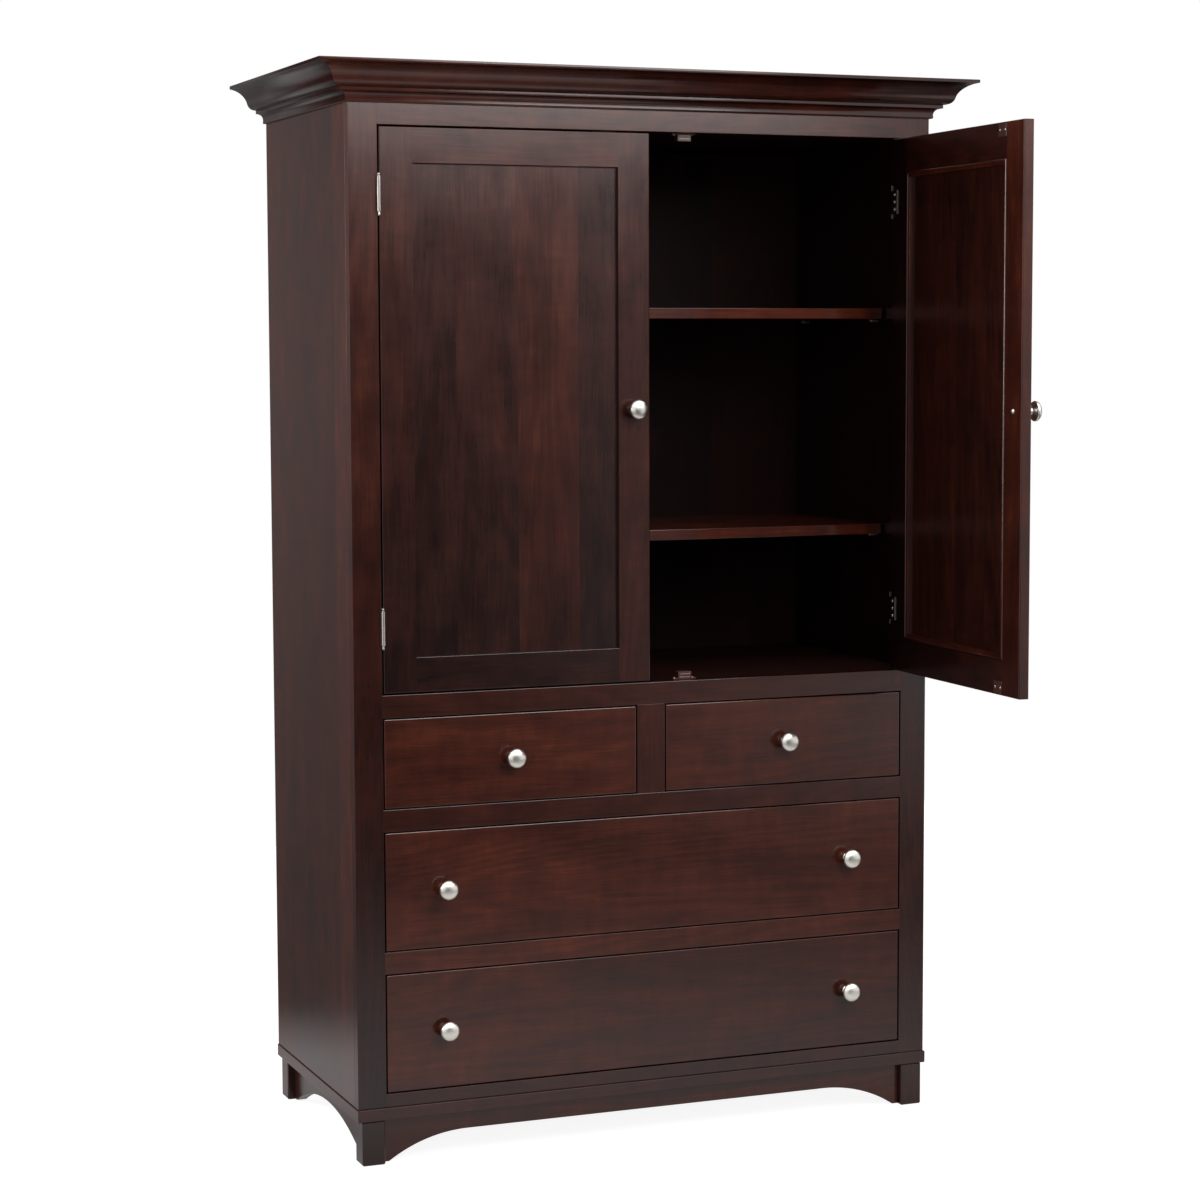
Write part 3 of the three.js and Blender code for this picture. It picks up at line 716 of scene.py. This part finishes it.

# %% [markdown]
# ## Side panels
# The sides carry the shelves: two rows of drilled holes in each, and a steel pin wherever a shelf rests. All holes
# are cut with one boolean, before the grain is written. The inner faces are painted darker than the outer ones:
# painted shade for the dark inside of the case.

# %% Side panels, holes and pins
HOLE_RADIUS = 0.0026
HOLE_DEPTH = 0.011
HOLE_PITCH = 0.032
HOLES_EACH_WAY = 5
PIN_RADIUS = 0.003
PIN_LENGTH = 0.009
PIN_PLAY = 0.0002
PIN_OUTLINE = [
    (0, -0.004), (PIN_RADIUS * 0.85, -0.004), (PIN_RADIUS * 0.85, 0.0), (PIN_RADIUS, 0.0002),
    (PIN_RADIUS, PIN_LENGTH - 0.001), (PIN_RADIUS * 0.7, PIN_LENGTH), (0, PIN_LENGTH),
]
PIN_ROWS = (FACE_Y + 0.178, FACE_Y + 0.4785)
PAINTED_SHADE_INSIDE = -0.5
pin_heights = [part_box(node)[0].z - PIN_PLAY - PIN_RADIUS for node in ("shelf_lower", "shelf_upper")]


def cut(piece, cutter):
    """Takes the cutter's shape out of the piece, and then throws the cutter away."""
    modified(piece, "BOOLEAN", operation="DIFFERENCE", solver="EXACT", object=cutter)
    bpy.data.objects.remove(cutter)


def drill(panel, inner_x):
    """Drills both rows of holes into the panel's inner face, but none where a pin sits."""
    drill_bit = turned(
        "drill_bit", [(0, 0), (HOLE_RADIUS, 0), (HOLE_RADIUS, 2 * HOLE_DEPTH), (0, 2 * HOLE_DEPTH)], 12,
    )
    settle(drill_bit, turn_about("Y", 90))
    steps = [step for step in range(-HOLES_EACH_WAY, HOLES_EACH_WAY + 1) if step]
    bits = [
        settle(repeat(drill_bit, "bit"), Matrix.Translation((inner_x - HOLE_DEPTH, row, height + step * HOLE_PITCH)))
        for row in PIN_ROWS for height in pin_heights for step in steps
    ]
    bpy.data.objects.remove(drill_bit)
    alone(bits[0])
    for bit in bits[1:]:
        bit.select_set(True)
    bpy.ops.object.join()
    cut(panel, bpy.context.object)
    return len(bits)


for side, hand in SIDES:
    low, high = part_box(f"side_panel_{side}")
    outer_x = low.x if hand < 0 else high.x
    inner_x = outer_x - hand * BOARD
    low.x, high.x = sorted((outer_x, inner_x))
    panel = ease(block(f"side_panel_{side}_wood", low, high))
    drilled = drill(panel, inner_x)
    wooden(panel, f"side_panel_{side}", "z", "y", plank=STRIP)
    # The inner half of the panel is painted darker: painted shade for the inside of the case.
    stain_beyond(panel, "x", outer_x - hand * BOARD / 2, -hand, PAINTED_SHADE_INSIDE)
    pin = settle(turned("pin", PIN_OUTLINE, 16), turn_about("Y", -90 * hand))
    for level, height in zip(("lower", "upper"), pin_heights):
        for place, row in zip(("front", "back"), PIN_ROWS):
            name = f"shelf_pin_{level}_{side}_{place}"
            place_copy(pin, name, pin_steel, "case", UPRIGHT, (inner_x, row, height))
    bpy.data.objects.remove(pin)
    print("side panel", side, "with", drilled, "holes")

# %% [markdown]
# ## Crown moulding
# The crown is one moulding cut to three lengths and mitred at the front corners: a foot, a small cove, a step, a
# belly, a wide cove and a flat lip. The foot and the step lean back a little, so both draw a bright line. Its
# outline is drawn once, as shares of its projection and height, filled, and extruded along each length. The ends
# are then drawn out by each point's own projection, as a mitre saw would cut them.

# %% Crown outline
CROWN_OUT = 0.069
CROWN_UP = 0.068
CURVE_STEPS = 12


def curve_points(start, *controls):
    """Points along a quadratic or cubic curve, without its start."""
    found = []
    for step in range(1, CURVE_STEPS + 1):
        share = step / CURVE_STEPS
        level = [start, *controls]
        while len(level) > 1:
            level = [(a + share * (c - a), b + share * (d - b)) for (a, b), (c, d) in zip(level, level[1:])]
        found.append(level[0])
    return found


crown_shares = [(0, 0), (0.075, 0), (0.09, 0.035), (0.0835, 0.1)]
crown_shares += curve_points(crown_shares[-1], (0.095, 0.25), (0.255, 0.265))
crown_shares += [(0.28, 0.265), (0.2835, 0.3), (0.2785, 0.35), (0.31, 0.36)]
crown_shares += curve_points(crown_shares[-1], (0.47, 0.37), (0.52, 0.52))
crown_shares += curve_points(crown_shares[-1], (0.555, 0.7), (0.74, 0.88), (1, 0.915))
crown_shares += [(1, 1), (0, 1)]
crown_outline = [(out * CROWN_OUT, up * CROWN_UP) for out, up in crown_shares]
print("crown outline has", len(crown_outline), "points")

# %% Crown lengths
HALF_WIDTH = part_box("face_stile_right")[1].x
BACK_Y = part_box("side_panel_left")[1].y
MITRE_GAP = 0.0001
CROWN_EDGE, CROWN_TURN = 0.0004, 28
crown_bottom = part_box("crown_front")[0].z


def from_outline(name, corners, reach):
    """A flat face with these corners, extruded by `reach`."""
    made = primitive(bpy.ops.mesh.primitive_circle_add, name, vertices=len(corners), radius=0.01, fill_type="NGON")
    for vertex, corner in zip(made.data.vertices, corners):
        vertex.co = corner
    with editing(made):
        bpy.ops.mesh.extrude_region_move(TRANSFORM_OT_translate={"value": reach})
        face_outwards()
    return made


def finish_crown(length, node, along, stain):
    ease_sharp(length, CROWN_EDGE, CROWN_TURN)
    bpy.ops.object.shade_smooth_by_angle(angle=math.radians(CROWN_TURN))
    wooden(length, node, along, "z", stain)


left_end = [(-HALF_WIDTH - out + MITRE_GAP, FACE_Y - out, crown_bottom + up) for out, up in crown_outline]
crown_front = from_outline("crown_front_wood", left_end, (2 * HALF_WIDTH, 0, 0))
for vertex in crown_front.data.vertices:
    if vertex.co.x > 0:
        vertex.co.x = HALF_WIDTH + (FACE_Y - vertex.co.y) - MITRE_GAP
# The front is lighter at its left end and darker at its right: a painted highlight for the sheen on its left.
finish_crown(crown_front, "crown_front", "x", (0.1, -0.35))
for side, hand in SIDES:
    node = f"crown_return_{side}"
    front_end = [
        (hand * (HALF_WIDTH + out), FACE_Y - out + MITRE_GAP, crown_bottom + up) for out, up in crown_outline
    ]
    crown_return = from_outline(f"{node}_wood", front_end, (0, BACK_Y - FACE_Y, 0))
    for vertex in crown_return.data.vertices:
        if vertex.co.y > 0.5 * (FACE_Y + BACK_Y):
            vertex.co.y = BACK_Y
    finish_crown(crown_return, node, "y", (-0.2, -0.2))
print("crown bottom at", round(crown_bottom, 4))

# %% [markdown]
# ## Legs and aprons
# Four square legs stand under the band. The front apron is level in the middle with a round arc down to each leg,
# the side ones are one low arc. The legs' edges are chamfered, so that they don't splinter when the armoire is
# pushed. The aprons are cut by their outline, as on a band saw.

# %% Legs
LEG_CHAMFER = 0.002
for node in ("leg_front_left", "leg_front_right", "leg_back_left", "leg_back_right"):
    leg = ease(block(f"{node}_wood", *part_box(node)), LEG_CHAMFER, 1)
    wooden(leg, node, "z", "x", (-0.25, -0.25))

# %% Aprons
ARCH_STEPS = 28
TOE = 0.011
TOE_BOTTOM = 0.001
FRONT_ARCH_TOP = 0.0455
FRONT_ARC_RADIUS = 0.266
SIDE_ARCH_TOP = 0.051


def saw_apron(node, corners, reach, along, stain):
    apron = ease_sharp(from_outline(f"{node}_wood", corners, reach), EASED_EDGE, 40)
    wooden(apron, node, along, "z", (stain, stain))


low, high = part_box("apron_front")
end = high.x
drop = FRONT_ARCH_TOP - TOE_BOTTOM
run = math.sqrt(drop * (2 * FRONT_ARC_RADIUS - drop))
arc_start = end - TOE - run
front_corners = [(end, low.y, high.z), (-end, low.y, high.z), (-end, low.y, TOE_BOTTOM)]
for hand in (-1, 1):
    for step in range(ARCH_STEPS + 1):
        share = 1 - step / ARCH_STEPS if hand < 0 else step / ARCH_STEPS
        sink = FRONT_ARC_RADIUS - math.sqrt(FRONT_ARC_RADIUS**2 - (run * share) ** 2)
        front_corners.append((hand * (arc_start + run * share), low.y, FRONT_ARCH_TOP - sink))
front_corners.append((end, low.y, TOE_BOTTOM))
saw_apron("apron_front", front_corners, (0, high.y - low.y, 0), "x", 0.15)

for node in ("apron_left", "apron_right"):
    low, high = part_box(node)
    middle = (low.y + high.y) / 2
    half_run = (high.y - low.y) / 2 - TOE
    rise = SIDE_ARCH_TOP - TOE_BOTTOM
    radius = (half_run**2 + rise**2) / (2 * rise)
    half_angle = math.asin(half_run / radius)
    side_corners = [(low.x, high.y, high.z), (low.x, low.y, high.z), (low.x, low.y, TOE_BOTTOM)]
    for step in range(ARCH_STEPS + 1):
        angle = half_angle * (2 * step / ARCH_STEPS - 1)
        sink = radius * (1 - math.cos(angle))
        side_corners.append((low.x, middle + radius * math.sin(angle), SIDE_ARCH_TOP - sink))
    side_corners.append((low.x, high.y, TOE_BOTTOM))
    saw_apron(node, side_corners, (high.x - low.x, 0, 0), "y", -0.35)
print("front arch starts", round(arc_start, 4), "m from the middle")

# %% [markdown]
# ## Knobs
# Eight turned knobs, each a mushroom on a short neck. The outline is a row of points from the base to the
# top, close together where it turns, and the spin has 56 steps, so no flats show.

# %% Knobs
KNOB_RADIUS = 0.0175
KNOB_REACH = 0.032
KNOB_SHARES = [
    (0, 0), (0.44, 0), (0.46, 0.01), (0.46, 0.06), (0.43, 0.078), (0.37, 0.1), (0.335, 0.14), (0.315, 0.2),
    (0.305, 0.3), (0.305, 0.4), (0.33, 0.47), (0.4, 0.525), (0.52, 0.562), (0.7, 0.588), (0.86, 0.612),
    (0.95, 0.638), (0.99, 0.668), (1, 0.7), (0.995, 0.735), (0.975, 0.775), (0.935, 0.822), (0.87, 0.868),
    (0.78, 0.908), (0.66, 0.942), (0.5, 0.971), (0.33, 0.989), (0.16, 0.998), (0, 1),
]
knob_pattern = turned(
    "knob_pattern", [(out * KNOB_RADIUS, along * KNOB_REACH) for out, along in KNOB_SHARES], 56,
)
bpy.ops.object.shade_smooth()


def knob(node, base, body, *moves):
    """A knob on the front, its base at a point of the closed door or drawer."""
    place_copy(knob_pattern, f"{node}_turned", satin_nickel, body, ONTO_FACE, base, *moves, stands_for=[node])


for body in ("small_drawer_left", "small_drawer_right", "large_drawer_upper", "large_drawer_lower"):
    for end in ("_left", "_right") if body.startswith("large") else ("",):
        low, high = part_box(f"knob_{body}{end}")
        middle = (low + high) / 2
        knob(f"knob_{body}{end}", (middle.x, FACE_Y, middle.z), body)
print("knobs", KNOB_REACH, "m proud")

# %% [markdown]
# ## Drawers
# The drawer fronts are single boards set in their openings with an even gap. The boxes behind them are pale
# lacquered maple: two sides, a front, a back and a thin bottom let in between them.

# %% Drawers
DRAWER_WALL = 0.012
DRAWER_FLOOR = 0.009
drawer_stains = {
    "small_left": (-0.04, 0.06), "small_right": (0.05, 0.0), "large_upper": (0.02, -0.06), "large_lower": (0.22, 0.0),
}
for drawer, stain in drawer_stains.items():
    size, place = drawer.split("_")
    body = f"{size}_drawer_{place}"
    board_like(f"drawer_front_{drawer}", "x", "z", 0.0014, stain=stain, body=body)
    box = f"drawer_box_{drawer}"
    low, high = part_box(box)
    left, right = low.x + DRAWER_WALL, high.x - DRAWER_WALL
    front, back = low.y + DRAWER_WALL, high.y - DRAWER_WALL
    for part, x, y, top, along, across, plank, edge in (
        ("side_left", (low.x, left), (low.y, high.y), high.z, "y", "z", None, 0.0016),
        ("side_right", (right, high.x), (low.y, high.y), high.z, "y", "z", None, 0.0016),
        ("front", (left, right), (low.y, front), high.z, "x", "z", None, 0.0012),
        ("back", (left, right), (back, high.y), high.z, "x", "z", None, 0.0012),
        ("bottom", (left, right), (front, back), low.z + DRAWER_FLOOR, "x", "y", 0.16, 0.0004),
    ):
        wall = ease(block(f"{box}_{part}", (x[0], y[0], low.z), (x[1], y[1], top)), edge)
        wooden(wall, box, along, across, plank=plank, material=drawer_wood, body=body)
print("drawers made")

# %% [markdown]
# ## Doors
# Each door is a frame of two stiles and two rails round a flat panel. On the front the panel lies eight
# millimetres deep. On the back a small moulding runs round it and holds it in its rebate. Both doors are made
# closed, and the right one is then swung open about its hinge pin, so its grain turns with it.

# %% Door sizes and swing
PIN_X = 0.5064
PIN_Y = FACE_Y - 0.0039
OPEN_ANGLE = math.radians(88)
DOOR_LOW, DOOR_HIGH = 0.836, 1.816
DOOR_FREE, DOOR_HINGED = 0.0015, 0.5048
DOOR_STILE, DOOR_RAIL = 0.06, 0.0615
KNOB_X, KNOB_Z = DOOR_FREE + DOOR_STILE / 2, (DOOR_LOW + DOOR_HIGH) / 2
DOOR_BACK = FACE_Y + 0.0195
PANEL_FRONT, PANEL_BACK = FACE_Y + 0.008, FACE_Y + 0.014
sight_x = (DOOR_FREE + DOOR_STILE, DOOR_HINGED - DOOR_STILE)
sight_z = (DOOR_LOW + DOOR_RAIL, DOOR_HIGH - DOOR_RAIL)


def swing(hand):
    """The move that opens the right door; the left one stays closed."""
    if hand < 0:
        return Matrix.Identity(4)
    pin = Vector((PIN_X, PIN_Y, 0))
    return Matrix.Translation(pin) @ Matrix.Rotation(OPEN_ANGLE, 4, "Z") @ Matrix.Translation(-pin)


def between(hand, x, y, z):
    """Two corners of a block whose x is counted from the middle of the armoire towards one hand."""
    ends = sorted(hand * value for value in x)
    return Vector((ends[0], y[0], z[0])), Vector((ends[1], y[1], z[1]))


print("panel opening", [round(b - a, 4) for a, b in (sight_x, sight_z)])

# %% Door boards
MOULDING_PLAY = 0.0004
MOULDING_WALL = 0.0051
MOULDING_BASE = PANEL_BACK + 0.00005
BEAD_THEN_FLAT = [
    (0.25, 0.5), (0.45, 0.4), (1.0, 0.46), (1.0, 0.43), (1.0, 0.4), (0.5, 0.05), (0.4, -0.15), (0.35, -0.5),
    (0.2, -0.9), (3.6, -0.3), (0.8, -0.2), (0.6, -0.5), (0.3, -1.0),
]
DOOR_EDGE = 0.0017
TONGUE = 0.0005
PANEL_STRIP = 0.115
STAIN_OUTSIDE_OF_RIGHT_DOOR = -0.1
# Each pair is the left door's, then the right door's. The boards are darker low down, partly their tone and partly
# painted shade, and the open right door is mostly darker than the closed one on its back and edges: painted shade.
DOOR_STAINS_AND_PAINTED_SHADE = {
    "stile_hinged": ((-0.5, 0.0), (-0.55, -0.3)), "stile_free": ((0.08, 0.22), (-0.38, -0.1)),
    "rail_top": ((0.05, 0.05), (-0.35, -0.2)), "rail_bottom": ((-0.25, -0.2), (-0.45, -0.75)),
    "panel": ((-0.36, 0.0), (-0.2, -0.15)), "moulding": ((0, 0), (-0.2, -0.1)),
}


def back_moulding(name, hand):
    """A mitred ring of moulding: one face, inset again and again while it follows the moulding's outline."""
    width, height = (ends[1] - ends[0] - 2 * MOULDING_PLAY for ends in (sight_x, sight_z))
    made = primitive(bpy.ops.mesh.primitive_plane_add, name, size=1)
    made.scale = (width, height, 1)
    made.rotation_euler = (math.radians(-90), 0, 0)
    made.location = (hand * sum(sight_x) / 2, MOULDING_BASE, sum(sight_z) / 2)
    bpy.ops.object.transform_apply()
    rise = MOULDING_WALL
    with editing(made, kind="FACE"):
        bpy.ops.mesh.extrude_region_move(TRANSFORM_OT_translate={"value": (0, MOULDING_WALL, 0)})
        for thickness, depth in BEAD_THEN_FLAT:
            bpy.ops.mesh.inset(thickness=thickness * MM, depth=depth * MM)
            rise += depth * MM
        bpy.ops.mesh.extrude_region_move(TRANSFORM_OT_translate={"value": (0, -rise, 0)})
        bpy.ops.mesh.select_all(action="DESELECT")
    for face in made.data.polygons:
        face.select = all(abs(made.data.vertices[i].co.y - MOULDING_BASE) < 0.1 * MM for i in face.vertices)
    with editing(made, None):
        bpy.ops.mesh.delete(type="FACE")
        bpy.ops.mesh.select_mode(type="EDGE")
        bpy.ops.mesh.select_non_manifold()
        bpy.ops.mesh.bridge_edge_loops()
        face_outwards()
    bpy.ops.object.shade_smooth_by_angle(angle=math.radians(32))
    return made


def lies_on(ends, values):
    return all(min(abs(abs(end) - value) for value in values) < 0.1 * MM for end in ends)


def on_outline(a, b):
    """The edges of the door's own outline, which hands and the frame rub."""
    upright = lies_on((a.x, b.x), (DOOR_FREE, DOOR_HINGED)) and abs(a.z - b.z) > 10 * MM
    level = lies_on((a.z, b.z), (DOOR_LOW, DOOR_HIGH)) and abs(a.x - b.x) > 10 * MM
    return upright or level


def beside_panel(a, b):
    """A rail's edge beside the panel; the line where a stile meets the rails stays sharp."""
    return lies_on((a.z, b.z), sight_z) and abs(a.x - b.x) > 10 * MM


def door_boards(side, hand):
    body, frame_node, panel_node = f"{side}_door", f"door_frame_{side}", f"door_panel_{side}"
    stains = {part: pair[hand > 0] for part, pair in DOOR_STAINS_AND_PAINTED_SHADE.items()}
    members = {
        "stile_hinged": ((sight_x[1], DOOR_HINGED), (DOOR_LOW, DOOR_HIGH), "z", "x"),
        "stile_free": ((DOOR_FREE, sight_x[0]), (DOOR_LOW, DOOR_HIGH), "z", "x"),
        "rail_top": (sight_x, (sight_z[1], DOOR_HIGH), "x", "z"),
        "rail_bottom": (sight_x, (DOOR_LOW, sight_z[0]), "x", "z"),
    }
    for part, (x, z, along, across) in members.items():
        member = block(f"{frame_node}_{part}", *between(hand, x, (FACE_Y, DOOR_BACK), z))
        ease_where(member, on_outline, DOOR_EDGE, 3)
        if part.startswith("rail"):
            ease_where(member, beside_panel, 0.0006)
        give_grain(member, along, across, stain=stains[part])
        # Only the open door's front gets a plain stain; its back and edges keep the painted shade.
        if side == "right":
            stain_beyond(member, "y", FACE_Y + 0.4 * MM, -1, STAIN_OUTSIDE_OF_RIGHT_DOOR)
        finish_piece(settle(member, swing(hand)), stained_maple, body, frame_node)
    x, z = ((ends[0] - TONGUE, ends[1] + TONGUE) for ends in (sight_x, sight_z))
    panel = ease(block(f"{panel_node}_wood", *between(hand, x, (PANEL_FRONT, PANEL_BACK), z)), 0.0002)
    give_grain(panel, "z", "x", PANEL_STRIP, stains["panel"])
    finish_piece(settle(panel, swing(hand)), stained_maple, body, panel_node)
    ring = give_grain(back_moulding(f"{panel_node}_moulding", hand), "z", "x", stain=stains["moulding"])
    finish_piece(settle(ring, swing(hand)), stained_maple, body)


for side, hand in SIDES:
    door_boards(side, hand)
    knob(f"knob_door_{side}", (hand * KNOB_X, FACE_Y, KNOB_Z), f"{side}_door", swing(hand))
print("doors made")

# %% [markdown]
# ## Screws
# Small pan-head screws hold the hinges, the catches and the strike plates. One is turned and its cross is cut
# with two thin blocks. The rest are copies.

# %% Screw pattern
SCREW_SHARES = [(0, 0), (1, 0), (1, 0.25), (0.95, 0.5), (0.8, 0.75), (0.5, 0.93), (0, 1)]
CROSS_LONG, CROSS_WIDE = 0.62, 0.13


def screw_pattern(radius, height):
    made = turned("screw_pattern", [(out * radius, up * height) for out, up in SCREW_SHARES], 20)
    for x, y in ((CROSS_LONG * radius, CROSS_WIDE * radius), (CROSS_WIDE * radius, CROSS_LONG * radius)):
        cut(made, block("driver", (-x, -y, height * 0.4), (x, y, height * 1.5)))
    return made


hinge_screw = screw_pattern(0.0031, 0.0008)
knob_screw = screw_pattern(0.0045, 0.0024)
print("screws ready")

# %% [markdown]
# ## Hinges
# Each hinge has two leaves that wrap round the edge of the wood, knuckles that interlock on a pin, and small
# pointed tips. The fixed model has all of these, so a copy of each leaf is cleaned up, eased and shaded smooth.
# Three screws hold each leaf.

# %% Hinges
HINGE_HEIGHTS = {"lower": 0.951, "upper": 1.701}
FLAP_THICKNESS = 0.0012
FLAP_GAP = 0.0003
DOOR_SCREW_X = DOOR_HINGED - 0.011
FRAME_SCREW_X = PIN_X + 0.0146
SCREW_LIFTS = (-0.0135, 0, 0.0135)
METAL_EDGE = 0.00012


def metal_copy(name, node, material, body, edge):
    """A copy of a plain solid for metal or plastic: merged, joined, finely eased and shaded by angle."""
    made = ease_sharp(solid_copy(name, node), edge, 50)
    bpy.ops.object.shade_smooth_by_angle(angle=math.radians(35))
    modified(made, "WEIGHTED_NORMAL", keep_sharp=True)
    finish_piece(made, material, body, node)


for side, hand in SIDES:
    door = f"{side}_door"
    for level, height in HINGE_HEIGHTS.items():
        hinge = f"hinge_{level}_{side}"
        for leaf, body in (("frame_leaf", "case"), ("door_leaf", door)):
            metal_copy(f"{hinge}_{leaf}_plate", f"{hinge}_{leaf}", hinge_nickel_painted_dark, body, METAL_EDGE)
        for i, lift in enumerate(SCREW_LIFTS, 1):
            point = (hand * DOOR_SCREW_X, DOOR_BACK + FLAP_GAP + FLAP_THICKNESS, height + lift)
            place_copy(hinge_screw, f"{hinge}_door_screw_{i}", hinge_nickel_painted_dark, door, ONTO_BACK, point, swing(hand))
            point = (hand * FRAME_SCREW_X, DOOR_BACK + FLAP_THICKNESS, height + lift)
            place_copy(hinge_screw, f"{hinge}_frame_screw_{i}", hinge_nickel_painted_dark, "case", ONTO_BACK, point)
print("hinges made")

# %% [markdown]
# ## Catches, strike plates and the knobs' screws
# Two magnetic catches at the top and two at the bottom hold the doors shut. Brown strike plates on the back of the
# doors meet them, and the knob's own screw shows as a bright dot in the middle of the free stile.

# %% Catches and strikes
CATCH_X = 0.076
CATCH_EAR = 0.0025
CATCH_SCREWS = (-0.0175, 0.0175)
POLE_LIFTS = (0.004, 0.0095)
POLE_DEPTHS = (-0.0005, 0.002)
HALF_POLE = Vector((0.01, 0, 0.0006))
HALF_STRIKE = Vector((0.0145, 0, 0.011))
STRIKE_THICKNESS = 0.0011
STRIKE_SCREWS = (-0.0095, 0.0095)
STRIKE_GAP = 0.0025
catch_screw = screw_pattern(0.0027, 0.001)
for side, hand in SIDES:
    door, x = f"{side}_door", hand * CATCH_X
    for level, up, door_end in (("top", -1, DOOR_HIGH), ("bottom", 1, DOOR_LOW)):
        node = f"catch_{level}_{side}"
        metal_copy(f"{node}_moulded", node, brown_plastic, "case", 0.0005)
        low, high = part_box(node)
        plane, turn = (low.z, UPRIGHT) if up > 0 else (high.z, turn_about("X", 180))
        for i, offset in enumerate(CATCH_SCREWS, 1):
            point = (x + offset, (low.y + high.y) / 2, plane + up * CATCH_EAR)
            place_copy(catch_screw, f"{node}_screw_{i}", hinge_nickel_painted_dark, "case", turn, point)
        for i, lift in enumerate(POLE_LIFTS, 1):
            front, back = (Vector((x, low.y + depth, plane + up * lift)) for depth in POLE_DEPTHS)
            pole = ease(block(f"{node}_pole_{i}", front - HALF_POLE, back + HALF_POLE), 0.0002)
            finish_piece(pole, pin_steel, "case")
        z = door_end + up * (STRIKE_GAP + HALF_STRIKE.z)
        front, back = (Vector((x, DOOR_BACK + depth, z)) for depth in (0, STRIKE_THICKNESS))
        strike = ease(block(f"strike_{level}_{side}", front - HALF_STRIKE, back + HALF_STRIKE), 0.0004)
        finish_piece(settle(strike, swing(hand)), strike_plastic, door)
        for i, offset in enumerate(STRIKE_SCREWS, 1):
            name, point = f"strike_{level}_{side}_screw_{i}", (x + offset, back.y, z)
            place_copy(catch_screw, name, hinge_nickel_painted_dark, door, ONTO_BACK, point, swing(hand))
    name, point = f"knob_screw_door_{side}", (hand * KNOB_X, DOOR_BACK, KNOB_Z)
    place_copy(knob_screw, name, satin_nickel, door, ONTO_BACK, point, swing(hand))
for pattern in (knob_pattern, hinge_screw, knob_screw, catch_screw):
    bpy.data.objects.remove(pattern)
print("catches and strikes made")
